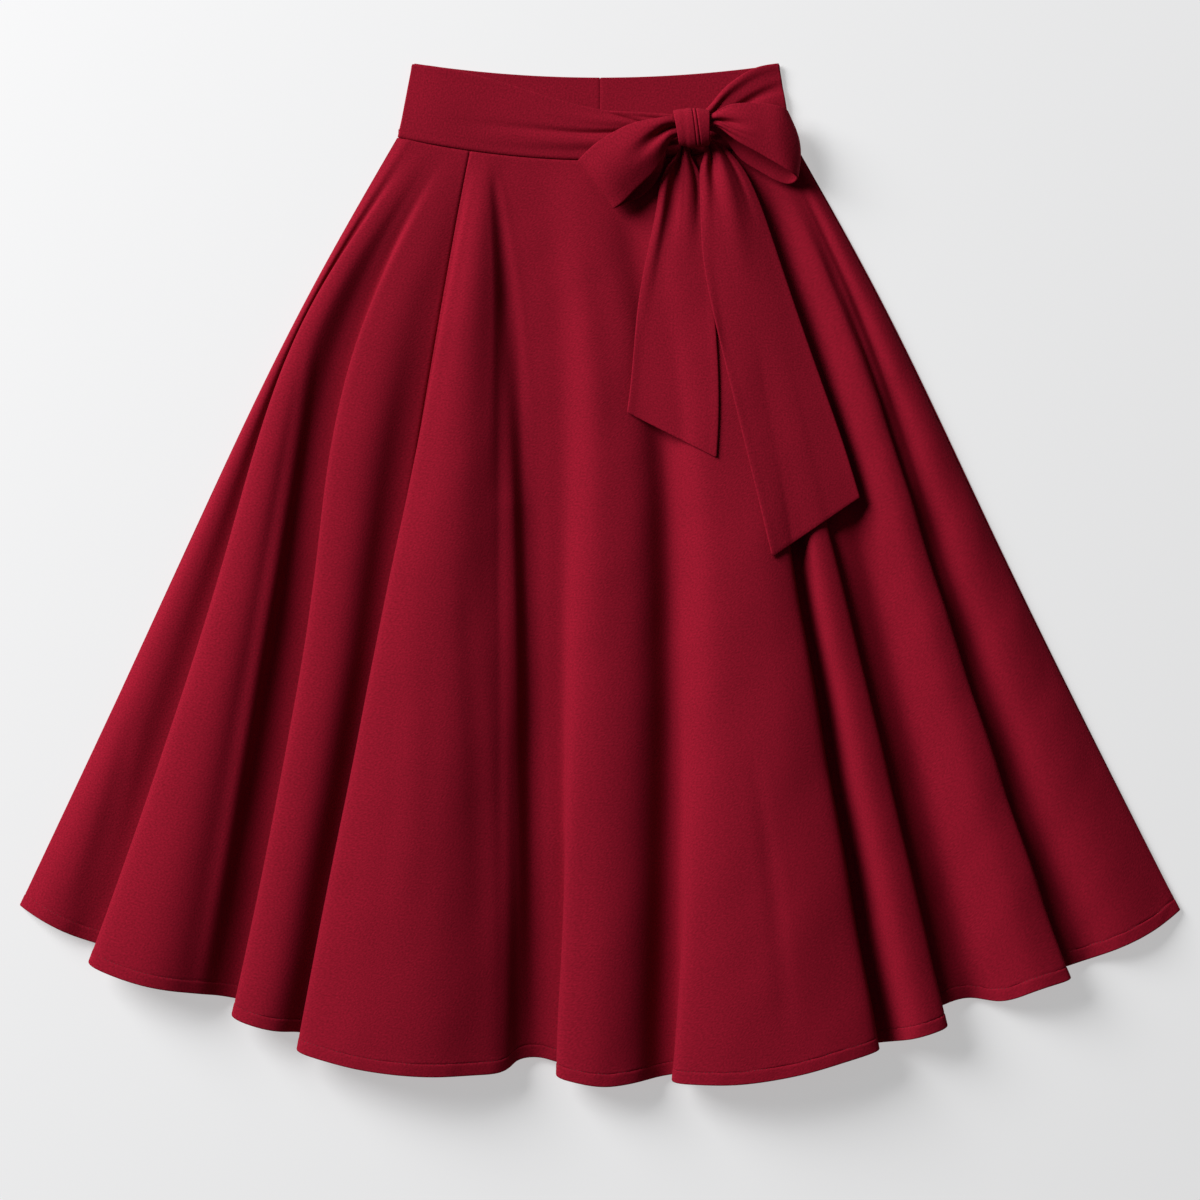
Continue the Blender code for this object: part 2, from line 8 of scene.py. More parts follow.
import bpy
import numpy as np
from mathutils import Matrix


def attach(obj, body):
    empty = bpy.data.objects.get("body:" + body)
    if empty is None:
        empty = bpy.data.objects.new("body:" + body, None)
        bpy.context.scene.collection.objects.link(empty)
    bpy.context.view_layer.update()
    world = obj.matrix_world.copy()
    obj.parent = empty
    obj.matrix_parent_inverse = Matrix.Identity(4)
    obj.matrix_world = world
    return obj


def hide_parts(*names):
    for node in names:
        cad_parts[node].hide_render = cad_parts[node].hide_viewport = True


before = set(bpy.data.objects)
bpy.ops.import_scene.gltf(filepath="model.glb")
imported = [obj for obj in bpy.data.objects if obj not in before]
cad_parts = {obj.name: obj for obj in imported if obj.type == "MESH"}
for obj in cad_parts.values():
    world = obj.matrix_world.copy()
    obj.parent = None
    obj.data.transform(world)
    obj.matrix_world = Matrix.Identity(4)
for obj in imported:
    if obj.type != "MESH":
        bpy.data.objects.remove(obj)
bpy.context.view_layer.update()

bl_info = {
    "name": "Flared Midi Skirt",
    "version": (1, 0, 0),
    "blender": (4, 5, 0),
    "location": "3D View > Sidebar > Skirt",
    "description": "A flared midi skirt in crepe with a tie bow, laid flat",
    "category": "Add Mesh",
}

MM = 0.001

# Waist and back, in millimetres, as the solids have them
SEAM_GAP = 0.3
WAIST_SEAM_GAP = 0.4
WAIST_HALF_WIDTH = 172.0
WAIST_MIDDLE_Y = 350.5
WAIST_SIDE_RISE = 19.5
BAND_TOP_HALF_WIDTH = 158.0
BAND_TOP_MIDDLE_Y = 421.0
BAND_TOP_SIDE_RISE = 12.0
FRONT_WAIST_Z = 4.6
BACK_SIDE_MARGIN = 0.3

# The right side is narrower than the left one. Here -1 stands for the left side and 1 for the right.
WAIST_SIDE_WIDTHS = {-1: WAIST_HALF_WIDTH, 1: 163.5}
BAND_TOP_SIDE_WIDTHS = {-1: BAND_TOP_HALF_WIDTH, 1: 151.5}
BACK_HEM_HALF_WIDTH = 491.0
BACK_HEM_SIDE_Y = -283.0
BACK_HEM_DEPTH = 117.0
BACK_SIDE_BOWS = {-1: (0.0, 10.0, 9.5, 0.0), 1: (0.0, 6.5, 2.5, 0.0)}
FLOOR_CLEARANCE = 0.05

# How fine the grids are. A seam's or a hem's own rows and columns lie at these distances from it.
PANEL_ROWS = 150
PANEL_COLUMNS = {"front_side_left": 124, "front_centre": 196, "front_side_right": 130}
BACK_PANEL_COLUMNS = 60
BACK_BAND_COLUMNS = 50
BACK_BAND_ROWS = 22
EDGE_DISTANCES = np.array([0.0, 0.25, 0.5, 0.85, 1.3, 1.9, 2.8])
HEM_DISTANCES = np.array(
    [0.0, 0.5, 1.2, 2.4, 4.2, 6.2, 7.8, 8.8, 9.4, 9.7, 10.0, 10.3, 10.8, 11.8, 13.8, 17.0]
)
RIM_RINGS = 3
NOMINAL_LENGTH = 770.0

# A panel's edges roll down into a seam, this deep and this wide
SEAM_ROLL_DEPTH = 0.55
SEAM_ROLL_WIDTH = 1.9
SIDE_SEAM_DROP = 0.6
SIDE_SEAM_WIDTH = 6.0

# The front's waves and creases fade out over these distances from the waist and from the sides
WAIST_FADE = 12.0
SIDE_FADE = 14.0

# The turned hem: how far above its stitches it ends and how softly, how much thicker it is, and a
# low ripple by its height and two lengths. The stitches' dent has a width, and its depth swings by
# a share from one stitch to the next.
HEM_TURN_ABOVE = 1.0
HEM_TURN_SOFTNESS = 0.5
HEM_THICKER = 0.35
HEM_RIPPLE_HEIGHT = 0.18
HEM_RIPPLES = (4.1, 13.7)
DENT_WIDTH = 0.75
DENT_SWING = 0.3

# The back waistband: its height, how far it stands off the floor, the height and length of its
# swells, and how deep and how wide its edges roll into the seam in the middle
BACK_BAND_HEIGHT = 70.0
BACK_BAND_LIFT = 0.25
BACK_BAND_SWELL = 0.5
BACK_BAND_SWELL_LENGTH = 31.0
BACK_BAND_ROLL = (0.25, 2.5)

# Sections of the skirt, as shares of the way from the waist seam to the hem
SECTION_STATIONS = (0.0, 0.2, 0.5, 1.0)

# How softly the folds rise from the waist, and the share of the way by which those of the side
# panels start later
RISE_SOFTNESS = 0.6
SIDE_START = 0.08

# Fold lines of the front, from the left side seam to the right one. Each runs from the waist to
# the hem: x at a fifth and at half of the way down, x and y at the hem, and the height at the hem.
FRONT_LINE_COLUMNS = ("name", "x_fifth", "x_half", "x_hem", "y_hem", "z_hem")
FRONT_LINES = (
    ("side_left", -246, -340.5, -493, -282, 2.7),
    ("left_roll", -245, -336.5, -479, -291, 10.5),
    ("left_crest", -244, -328, -457, -303, 12),
    ("left_foot", -242, -313, -428, -314, 6),
    ("fold1_inner", -240, -307, -414, -320, 8),
    ("fold1_edge", -244, -316, -432, -328, 20),
    ("fold1_crest", -237, -305, -415, -339, 30),
    ("fold1_slope", -227, -281, -347, -355, 24.5),
    ("fold1_foot", -217, -266, -325, -358, 10.5),
    ("fold1_floor", -208, -247, -305, -362, 4.5),
    ("fold2_inner", -198, -234, -296, -365, 7),
    ("fold2_edge", -200, -242, -311, -373, 18),
    ("fold2_crest", -192, -229, -296, -382, 27),
    ("fold2_slope", -163, -201, -268, -388, 21.5),
    ("fold2_foot", -146, -183, -247, -391, 8.5),
    ("fold3_inner", -134, -172, -238, -395, 9),
    ("fold3_edge", -135, -181, -256, -402, 21),
    ("fold3_crest", -128, -170, -236, -411, 32),
    ("fold3_top", -119, -149, -196, -420, 38.5),
    ("fold3_back", -108, -123, -140, -425, 38.5),
    ("fold3_slope", -96, -99, -103, -424, 29.5),
    ("fold3_end", -86, -82, -79, -420, 19.5),
    ("valley_wall", -78, -73, -72, -414, 10.5),
    ("valley_floor", -62, -54, -47, -412, 4.5),
    ("valley_side", -46, -42, -36, -415, 5.5),
    ("fold4_inner", -32, -29, -26, -418, 8),
    ("fold4_edge", -21, -22, -36, -424, 17),
    ("fold4_crest", -10, -8, -20, -431, 27),
    ("fold4_top", 6, 14, 9, -434, 28.5),
    ("fold4_slope", 30, 43, 36, -430, 18),
    ("fold4_foot", 44, 59, 52, -427, 6),
    ("fold5_inner", 53, 68, 68, -425, 9.5),
    ("fold5_edge", 61, 78, 62, -429, 20),
    ("fold5_crest", 71, 90, 81, -432, 32),
    ("fold5_top", 85, 110, 123, -431, 38),
    ("fold5_back", 104, 136, 170, -423, 39),
    ("fold5_slope", 121, 158, 212, -411, 35),
    ("fold6_edge", 128, 168, 235, -402, 26),
    ("fold6_inner", 130, 161, 218, -401, 12),
    ("fold6_foot", 135, 173, 241, -398, 7.5),
    ("fold7_crest", 142, 187, 268, -393, 27),
    ("fold7_slope", 148, 199, 284, -388, 28),
    ("fold7_edge", 151, 205, 293, -383, 23),
    ("fold7_inner", 154, 197, 279, -375, 16),
    ("fold7_foot", 162, 208, 291, -366, 12),
    ("fold7_floor", 175, 229, 320, -361, 4.3),
    ("fold8_rise", 186, 243, 338, -363, 12),
    ("fold8_crest", 197, 259, 362, -356, 24),
    ("fold8_slope", 206, 273, 385, -348, 25),
    ("fold8_edge", 208, 279, 397, -343, 20),
    ("fold8_inner", 211, 271, 383, -339, 13.5),
    ("fold8_foot", 214, 280, 394, -334, 10),
    ("fold8_floor", 218, 290, 414, -328, 4.3),
    ("right_crest", 224, 304, 438, -319, 12),
    ("right_roll", 231, 324, 476, -299, 9),
    ("side_right", 234.5, 329, 493, -286, 2.7),
)
FRONT_LINE_NAMES = [row[0] for row in FRONT_LINES]

# The seams between the front panels lie halfway from these lines to the next ones
FRONT_SEAMS = ("fold2_foot", "fold6_inner")
SEAM_WAY = 0.5

# Where these lines leave the waist seam. The lines between two of them are evenly spaced.
WAIST_ANCHORS = (
    ("side_left", -171.5),
    ("fold2_foot", -113.0),
    ("fold3_inner", -108.0),
    ("valley_wall", -85.0),
    ("fold6_inner", 108.0),
    ("fold6_foot", 113.0),
    ("side_right", 163.0),
)

# The cloth never lies quite even: low waves, by their lengths across and down, height and phase
WAVE_COLUMNS = ("across", "down", "height", "phase")
CLOTH_WAVES = (
    (150.0, 760.0, 0.35, 0.4),
    (-97.0, 510.0, 0.2, 1.9),
    (61.0, 440.0, 0.06, 3.1),
    (-43.0, 230.0, 0.025, 5.0),
    (230.0, 123.0, 0.04, 2.2),
)

# Soft creases: where each starts and ends, how far its middle bows to its left, its height, below 0
# for a trough, and its half width at either end. The height fades along it by a sine to this power.
CREASE_FADE = 0.7
CREASE_COLUMNS = ("x_start", "y_start", "x_end", "y_end", "bow", "height", "width_start", "width_end")
FRONT_CREASES = (
    (-90.0, 338.0, -76.0, 60.0, 6.0, -3.6, 6.0, 24.0),
    (-20.0, 300.0, 22.0, 100.0, 4.0, -1.2, 18.0, 30.0),
    (168.0, 330.0, 205.0, 240.0, 4.0, -1.0, 7.0, 12.0),
    (-116.0, 20.0, -98.0, -380.0, 3.0, -0.7, 12.0, 18.0),
    (-156.0, -60.0, -172.0, -330.0, 4.0, 1.0, 16.0, 24.0),
    (128.0, -150.0, 158.0, -400.0, 4.0, -1.3, 10.0, 14.0),
    (-395.0, -120.0, -446.0, -290.0, 4.0, -1.0, 12.0, 16.0),
    (300.0, 20.0, 405.0, -270.0, 6.0, 0.9, 14.0, 20.0),
    (-78.0, 230.0, -69.0, -450.0, 0.0, 5.0, 10.0, 17.0),
    (-244.0, 190.0, -345.0, -400.0, 0.0, 4.0, 9.0, 13.0),
)
BACK_CREASES = (
    (-60.0, 300.0, -150.0, -330.0, 8.0, 1.5, 14.0, 26.0),
    (-20.0, 200.0, -45.0, -360.0, -4.0, 1.2, 16.0, 24.0),
    (-130.0, 120.0, -290.0, -310.0, 6.0, 1.4, 14.0, 22.0),
    (50.0, 310.0, 110.0, -350.0, 6.0, 1.4, 14.0, 28.0),
    (110.0, 180.0, 240.0, -320.0, -6.0, 1.5, 16.0, 24.0),
    (170.0, 60.0, 370.0, -260.0, 5.0, 1.1, 14.0, 20.0),
)

# Sections along the band and the ties: the cloth's two edges, and how far it bulges between them.
# Where a_y is ON_SEAM, the edge lies on the waist seam.
ON_SEAM = np.nan
RIBBON_COLUMNS = ("a_x", "a_y", "a_z", "b_x", "b_y", "b_z", "crown")
BAND_LEFT = (
    (-171.5, ON_SEAM, 2.9, -159.5, 432.2, 2.9, 0.4),
    (-156.0, ON_SEAM, 4.4, -146.0, 430.8, 4.2, 0.8),
    (-110.0, ON_SEAM, 4.8, -98.0, 420.8, 4.8, 1.0),
    (-62.0, ON_SEAM, 4.8, -44.0, 404.6, 5.0, 1.2),
    (-18.0, ON_SEAM, 4.8, -1.0, 393.6, 5.6, 1.0),
    (30.0, ON_SEAM, 4.8, 34.0, 391.0, 6.0, 0.6),
    (58.0, ON_SEAM, 4.8, 61.0, 389.3, 5.6, 0.2),
    (77.0, ON_SEAM, 4.8, 77.0, 388.5, 5.2, 0.0),
)
BAND_RIGHT = (
    (77.6, ON_SEAM, 4.8, 77.6, 388.6, 5.2, 0.0),
    (95.0, ON_SEAM, 4.8, 91.5, 395.0, 5.8, 0.3),
    (110.0, ON_SEAM, 4.8, 102.0, 407.5, 5.8, 0.8),
    (127.0, ON_SEAM, 4.6, 117.0, 420.5, 5.2, 0.8),
    (147.0, ON_SEAM, 4.2, 134.5, 429.6, 4.4, 0.6),
    (163.0, ON_SEAM, 2.9, 152.0, 432.8, 2.9, 0.4),
)
LOOP_LEFT = (
    (70.6, 382.4, 23.0, 70.6, 370.5, 23.0, 0.0),
    (60.6, 385.6, 25.5, 62.6, 367.3, 24.5, 1.0),
    (47.7, 383.9, 28.0, 57.6, 362.2, 26.0, 2.5),
    (29.8, 380.4, 28.5, 51.7, 349.3, 26.0, 5.0),
    (10.9, 372.1, 27.0, 42.8, 336.5, 24.5, 6.5),
    (-5.0, 361.9, 24.5, 28.8, 323.3, 22.0, 5.5),
    (-14.9, 352.8, 20.5, 16.4, 311.6, 18.5, 3.0),
    (-18.4, 349.2, 16.0, 12.5, 308.9, 14.8, 0.5),
    (-14.5, 351.5, 12.8, 17.0, 311.2, 12.0, -0.4),
    (0.0, 358.1, 11.6, 32.9, 318.2, 11.6, 0.0),
    (20.9, 366.4, 12.6, 48.9, 334.0, 12.6, 0.6),
    (42.8, 375.2, 15.0, 55.8, 354.3, 15.0, 0.6),
    (58.7, 379.8, 19.3, 61.7, 369.8, 19.3, 0.2),
    (70.7, 381.2, 20.0, 70.7, 371.7, 20.0, 0.0),
)
LOOP_RIGHT = (
    (84.0, 383.6, 23.0, 84.0, 371.6, 23.0, 0.0),
    (95.0, 388.0, 25.5, 97.5, 377.4, 25.0, 0.6),
    (106.5, 394.3, 27.0, 111.5, 368.0, 27.0, 2.5),
    (122.0, 396.8, 27.5, 127.0, 358.5, 28.0, 4.5),
    (138.5, 396.6, 26.5, 142.0, 350.0, 28.0, 5.0),
    (150.5, 394.4, 26.0, 155.5, 342.0, 28.0, 4.0),
    (157.0, 391.8, 23.0, 164.0, 336.8, 25.0, 4.0),
    (158.8, 388.5, 17.5, 166.8, 333.5, 19.0, 6.0),
    (156.5, 385.5, 12.6, 162.0, 329.8, 13.2, 1.0),
    (148.0, 385.5, 11.8, 151.5, 331.5, 12.2, 0.0),
    (133.5, 388.0, 11.8, 136.0, 340.0, 12.2, 0.0),
    (118.5, 389.8, 12.8, 119.5, 350.8, 12.8, 0.0),
    (104.0, 387.6, 15.0, 109.0, 363.6, 14.4, 0.0),
    (95.0, 384.2, 19.0, 96.5, 373.2, 19.0, 0.0),
    (84.0, 382.0, 20.0, 84.0, 372.5, 20.0, 0.0),
)
TAIL_SHORT = (
    (69.0, 367.5, 9.0, 75.0, 367.5, 9.0, 0.4),
    (66.5, 357.5, 9.5, 75.5, 357.5, 9.5, 1.2),
    (57.5, 345.0, 10.5, 83.0, 342.0, 10.0, 2.2),
    (49.0, 317.0, 12.0, 90.0, 309.0, 11.0, 2.0),
    (41.0, 275.0, 12.5, 93.5, 262.0, 12.5, 1.6),
    (33.0, 232.0, 13.0, 97.0, 219.0, 14.0, 1.2),
    (28.0, 181.0, 14.0, 100.0, 172.5, 17.0, 0.8),
    (24.5, 147.0, 15.0, 100.0, 121.0, 20.0, 0.6),
    (23.0, 136.0, 15.0, 98.5, 97.0, 21.0, 0.4),
)
TAIL_LONG = (
    (86.0, 368.5, 12.7, 94.0, 368.5, 12.7, 0.2),
    (88.5, 358.0, 12.8, 105.0, 361.0, 12.2, 1.2),
    (85.5, 345.5, 13.4, 117.0, 348.5, 12.5, 3.4),
    (84.5, 325.5, 15.0, 128.5, 329.5, 13.5, 5.0),
    (86.5, 274.5, 17.5, 147.5, 279.0, 14.0, 4.0),
    (95.0, 223.5, 19.5, 167.5, 219.5, 15.0, 3.0),
    (108.0, 168.5, 19.5, 186.0, 166.5, 16.0, 2.2),
    (122.5, 109.0, 23.0, 202.5, 120.0, 17.0, 1.6),
    (134.5, 59.5, 25.0, 212.5, 89.0, 18.0, 1.0),
    (145.5, 13.0, 26.0, 220.0, 64.0, 18.0, 0.6),
)

# Gathers: soft ridges, or valleys where the height is below 0, that run along a tie. The knot
# squeezes them low, and they die out away from it. The narrow ones are the cloth's own fine creases.
KNOT_SQUEEZE = 0.3
SQUEEZE_END = 20.0
GATHER_COLUMNS = ("share_at_knot", "share_at_end", "height", "half_width", "reach")
BAND_LEFT_GATHERS = (
    (0.93, 0.99, 2.6, 0.08, 0.3),
    (0.57, 1.2, -3.6, 0.07, 0.5),
    (0.8, 0.8, 2.0, 0.14, 0.6),
    (0.68, 0.3, -3.2, 0.1, 0.9),
    (0.48, 0.12, 2.6, 0.18, 0.95),
    (0.3, 0.2, -0.8, 0.08, 0.3),
)
BAND_RIGHT_GATHERS = (
    (0.9, 1.0, 2.8, 0.12, 1.4),
    (0.5, 0.8, -4.4, 0.1, 1.6),
    (0.36, 0.56, 2.8, 0.16, 1.5),
    (0.74, 0.9, -1.2, 0.06, 0.6),
)
LOOP_LEFT_GATHERS = (
    (0.2, 0.2, 2.6, 0.24, 0.3),
    (0.48, 0.56, -6.5, 0.2, 0.35),
    (0.78, 0.8, 3.6, 0.2, 0.3),
    (0.36, 0.3, -1.2, 0.07, 0.16),
    (0.64, 0.72, 1.0, 0.06, 0.14),
    (0.9, 0.9, -1.4, 0.07, 0.16),
)
LOOP_RIGHT_GATHERS = (
    (0.28, 0.28, 2.4, 0.22, 0.3),
    (0.53, 0.5, -5.5, 0.16, 0.3),
    (0.77, 0.72, 3.0, 0.16, 0.3),
    (0.1, 0.06, -1.4, 0.08, 0.2),
    (0.7, 0.74, -2.4, 0.08, 0.34),
    (0.9, 0.86, -1.6, 0.07, 0.22),
)
TAIL_SHORT_GATHERS = (
    (0.12, 0.05, 3.4, 0.13, 0.8),
    (0.34, 0.26, -4.2, 0.18, 0.62),
    (0.66, 0.6, 3.6, 0.26, 0.6),
    (0.5, 0.46, 1.0, 0.06, 0.36),
    (0.84, 0.8, -1.6, 0.08, 0.35),
)
TAIL_LONG_GATHERS = (
    (0.12, 0.08, 3.2, 0.14, 0.34),
    (0.3, 0.3, -4.0, 0.13, 0.22),
    (0.56, 0.48, 3.2, 0.22, 0.42),
    (0.44, 0.4, -1.2, 0.06, 0.16),
    (0.8, 0.8, -1.8, 0.1, 0.3),
)

# Steps of a tie between two of its sections and across it, and how far these crowd at its edges
RIBBON_STEPS = 12
RIBBON_COLUMNS_ACROSS = 48
EDGE_CROWDING = 0.45

# The front band's gathers stop softly at this height of its middle surface, over the back band
BAND_FLOOR = 2.75
BAND_FLOOR_SOFTNESS = 0.25

# A turned edge of a band or tie holds its seam allowance, so it is a little fuller, most of all at
# this distance from the edge
EDGE_FULLNESS = 0.22
EDGE_FULL_WIDTH = 6.0
EDGE_FULLEST = 2.0

# Knot: the tie wrapped once round the gathers, open underneath
KNOT_CENTRE = (77.2, 376.2, 23.4)
KNOT_HALF_LENGTH = 15.5
KNOT_RADIUS_Y = 16.2
KNOT_RADIUS_Z = 9.6
KNOT_WRAP_DEGREES = 152.0
KNOT_PINCH = 0.14
KNOT_COLUMNS = 90
KNOT_ROWS = 110

# Creases round the knot: place along it from -1 to 1, depth as a share of its radius, half width,
# and how far the crease slants over the knot's length from top to bottom
KNOT_CREASE_COLUMNS = ("place", "depth", "half_width", "slant")
KNOT_CREASES = (
    (0.115, 0.13, 0.08, -0.065),
    (0.345, 0.17, 0.08, -0.095),
    (-0.5, 0.03, 0.3, 0.05),
)

# The knot's left end leans in towards its foot by this share of its half length
KNOT_LEAN = 0.34

# Under each seam its allowance is pressed open: how far it reaches, its half thickness, its drop
# below the seam, and the steps of its grid. The lengths are in metres.
ALLOWANCE_REACH = 7.0
ALLOWANCE_HALF = 0.25
ALLOWANCE_DROP = 0.7
ALLOWANCE_COLUMNS = 9
BACK_ALLOWANCE_HALF = 0.08
BACK_ALLOWANCE_Z = 1.0
BACK_ALLOWANCE_INSET = 1.0
BACK_ALLOWANCE_ROWS = 160

# The waist's allowance stands back from the seam's two ends, and is lower there: its heights at
# two distances from them
WAIST_ALLOWANCE_DROP = 1.05
WAIST_ALLOWANCE_STEPS = 140
WAIST_END_INSET = 0.9
WAIST_END_REACH = (0.5, 9.0)
WAIST_END_HEIGHTS = (2.7, FRONT_WAIST_Z)

# How a tie that lies on a panel follows it. A height map has a cell, a corner, a size and finer
# steps over the panel. It spreads and is softened by whole cells, and is read up to its last cell.
# The tie rises over it softly and keeps a gap.
MAP_CELL = 1.0
MAP_CORNER = (0.0, -20.0)
MAP_SIZE = (250, 430)
MAP_REFINING = 4
MAP_SPREAD = 3
MAP_SOFTENING = 2
MAP_LAST_CELL = 1.001
LIFT_SOFTNESS = 1.2
LAYER_GAP = 0.25

# Stitches: a thread over a line of holes, each stitch a small pointed barrel, pressed flatter and
# raised by shares of its radius
STITCH_SIDES = 6
STITCH_RINGS = (0.0, 0.45, 0.85, 1.0, 0.85, 0.45, 0.0)
STITCH_GAP = 0.7
STITCH_SINK = 0.2
STITCH_FLATNESS = 0.8
STITCH_RISE = 0.5

# The stage, in metres: the key light's place and size, the camera's place along Y, and the floor's
# reach and height. The camera's sensor is in millimetres.
KEY_PLACE = (-3.9, 2.9, 2.6)
KEY_SIZE = 3.0
SENSOR_WIDTH = 36.0
CAMERA_Y = -0.023
FLOOR_REACH = 20.0
FLOOR_Z = -0.0002

# Grains of the crepe to a metre of cloth
GRAIN_SCALE = 640.0

# The two halves of the back and of its waistband, by their side: -1 for the left one
BACK_PANELS = {"back_panel_left": -1, "back_panel_right": 1}
BACK_BANDS = {"waistband_back_left": -1, "waistband_back_right": 1}


def linear(hex_colour):
    """The linear RGBA of an sRGB hex colour."""
    value = np.array([int(hex_colour[i : i + 2], 16) for i in (1, 3, 5)]) / 255
    low, high = value / 12.92, ((value + 0.055) / 1.055) ** 2.4
    return (*np.where(value <= 0.04045, low, high).tolist(), 1.0)


def by_column(names, table):
    """The columns of a table as arrays, by their names."""
    return {name: np.array(column) for name, column in zip(names, zip(*table))}


def by_row(names, table):
    """The rows of a table, each with its values by their names."""
    return [dict(zip(names, row)) for row in table]


def smooth_bump(distance):
    """1 at distance 0, falling as a squared cosine to 0 with a level end at distance 1."""
    return np.cos(np.clip(np.abs(distance), 0, 1) * np.pi / 2) ** 2


def unit(vectors):
    """The vectors, each divided by its length."""
    return vectors / np.maximum(np.linalg.norm(vectors, axis=-1, keepdims=True), 1e-9)


def splines(knots, points, at):
    """Natural cubic splines, one for each row, through its points at its knots, read at "at".

    Between two knots a curve is its chord plus a cubic with the bends of the two ends. The bends
    are 0 at the row's ends, and elsewhere those that keep the slope even on both sides of a knot.
    """
    rows, count = knots.shape
    width = np.diff(knots, axis=1)
    slope = np.diff(points, axis=1) / width[..., None]
    inner = np.arange(1, count - 1)
    matrix = np.zeros((rows, count, count))
    matrix[:, [0, -1], [0, -1]] = 1.0
    matrix[:, inner, inner - 1] = width[:, :-1]
    matrix[:, inner, inner] = 2 * (width[:, :-1] + width[:, 1:])
    matrix[:, inner, inner + 1] = width[:, 1:]
    change = np.zeros_like(points)
    change[:, 1:-1] = 6 * np.diff(slope, axis=1)
    bend = np.linalg.solve(matrix, change)
    span = (at[:, :, None] >= knots[:, None, 1:-1]).sum(axis=-1)
    this = span[..., None]

    def ends(values):
        return np.take_along_axis(values, this, axis=1), np.take_along_axis(values, this + 1, axis=1)

    h = np.take_along_axis(width, span, axis=1)[..., None]
    ahead = (at - np.take_along_axis(knots, span, axis=1))[..., None] / h
    behind = 1 - ahead
    (first, last), (bend_first, bend_last) = ends(points), ends(bend)
    curve = (behind**3 - behind) * bend_first + (ahead**3 - ahead) * bend_last
    return behind * first + ahead * last + curve * h * h / 6


def spline(knots, points, at):
    """One natural spline through the points at the knots, read at "at"."""
    knots, points, at = (np.asarray(x, float)[None] for x in (knots, points, at))
    return splines(knots, points, at)[0]


def lengths_along(points, axis):
    """Distance along the points from the first of them, along one axis of the grid."""
    steps = np.linalg.norm(np.diff(points, axis=axis), axis=-1)
    start = np.zeros_like(steps.take([0], axis=axis))
    return np.concatenate([start, np.cumsum(steps, axis=axis)], axis=axis)


def normals(grid):
    """Unit normals of a grid: the direction down its columns crossed with that along its rows."""
    return unit(np.cross(np.gradient(grid, axis=0), np.gradient(grid, axis=1)))


def waist_y(x):
    """The waist seam: a curve that dips in the middle, by the square of x."""
    return WAIST_MIDDLE_Y + WAIST_SIDE_RISE * (x / WAIST_HALF_WIDTH) ** 2


def band_top_y(x):
    """The upper edge of the back waistband, by the square of x."""
    return BAND_TOP_MIDDLE_Y + BAND_TOP_SIDE_RISE * (x / BAND_TOP_HALF_WIDTH) ** 2


def unevenness(across, down):
    """The sum of a few long, low sine waves over the cloth, each slanting in its own direction."""
    height = np.zeros_like(across)
    for wave in by_row(WAVE_COLUMNS, CLOTH_WAVES):
        turn = across / wave["across"] + down / wave["down"]
        height += wave["height"] * np.sin(2 * np.pi * turn + wave["phase"])
    return height


def creased(x, y, creases):
    """The height that soft creases add at x and y.

    A crease is a line from start to end, bowed by a sine. Across it the height is a squared cosine
    of its half width, and along it the height fades with a power of the sine of the way.
    """
    height = np.zeros_like(x)
    for crease in by_row(CREASE_COLUMNS, creases):
        run = np.array([crease["x_end"] - crease["x_start"], crease["y_end"] - crease["y_start"]])
        length = np.hypot(*run)
        along = run / length
        dx, dy = x - crease["x_start"], y - crease["y_start"]
        way = np.clip((dx * along[0] + dy * along[1]) / length, 0, 1)
        off = dy * along[0] - dx * along[1] - crease["bow"] * np.sin(np.pi * way)
        width = crease["width_start"] + (crease["width_end"] - crease["width_start"]) * way
        height += crease["height"] * smooth_bump(off / width) * np.sin(np.pi * way) ** CREASE_FADE
    return height


def rolled(distance, depth=SEAM_ROLL_DEPTH, width=SEAM_ROLL_WIDTH):
    """How far cloth at a distance from a seam is rolled down: the square of the way left to it."""
    return -depth * np.clip(1 - distance / width, 0, 1) ** 2


def cloth_shell(name, grid, half, uv, material):
    """A named closed shell of cloth round the grid, joined at its rim by a half round.

    The faces are the grid moved by plus and minus half along its normals. The rim's rings turn
    from one to the other: the normal times half times the cosine of the turn, plus the outward
    direction times half times its sine.
    """
    rows, columns = grid.shape[:2]
    half = np.broadcast_to(half, (rows, columns))[..., None]
    normal = normals(grid)
    index = np.arange(rows * columns).reshape(rows, columns)
    top = np.stack([index[:-1, :-1], index[1:, :-1], index[1:, 1:], index[:-1, 1:]], axis=-1)
    top = top.reshape(-1, 4)
    under = top[:, ::-1] + rows * columns
    loop = np.concatenate([index[:-1, 0], index[-1, :-1], index[:0:-1, -1], index[0, :0:-1]])
    edge, step = grid.reshape(-1, 3)[loop], half.reshape(-1, 1)[loop]
    edge_normal = normal.reshape(-1, 3)[loop]
    tangent = np.roll(edge, -1, axis=0) - np.roll(edge, 1, axis=0)
    outward = unit(np.cross(tangent, edge_normal))
    turns = np.pi * np.arange(1, RIM_RINGS + 1)[:, None, None] / (RIM_RINGS + 1)
    rings = edge + step * (edge_normal * np.cos(turns) + outward * np.sin(turns))
    count = len(loop)
    ring_index = 2 * rows * columns + np.arange(RIM_RINGS * count).reshape(RIM_RINGS, count)
    bands = np.concatenate([loop[None], ring_index, loop[None] + rows * columns])
    ahead = np.roll(bands, -1, axis=1)
    rim = np.stack([bands[:-1], bands[1:], ahead[1:], ahead[:-1]], axis=-1).reshape(-1, 4)
    points = np.concatenate([grid + normal * half, grid - normal * half]).reshape(-1, 3)
    points = np.concatenate([points, rings.reshape(-1, 3)]) * MM
    flat_uv = uv.reshape(-1, 2) * MM
    all_uv = np.concatenate([flat_uv, flat_uv, np.tile(flat_uv[loop], (RIM_RINGS, 1))])
    return mesh_object(name, points, np.concatenate([top, under, rim]), all_uv, material)


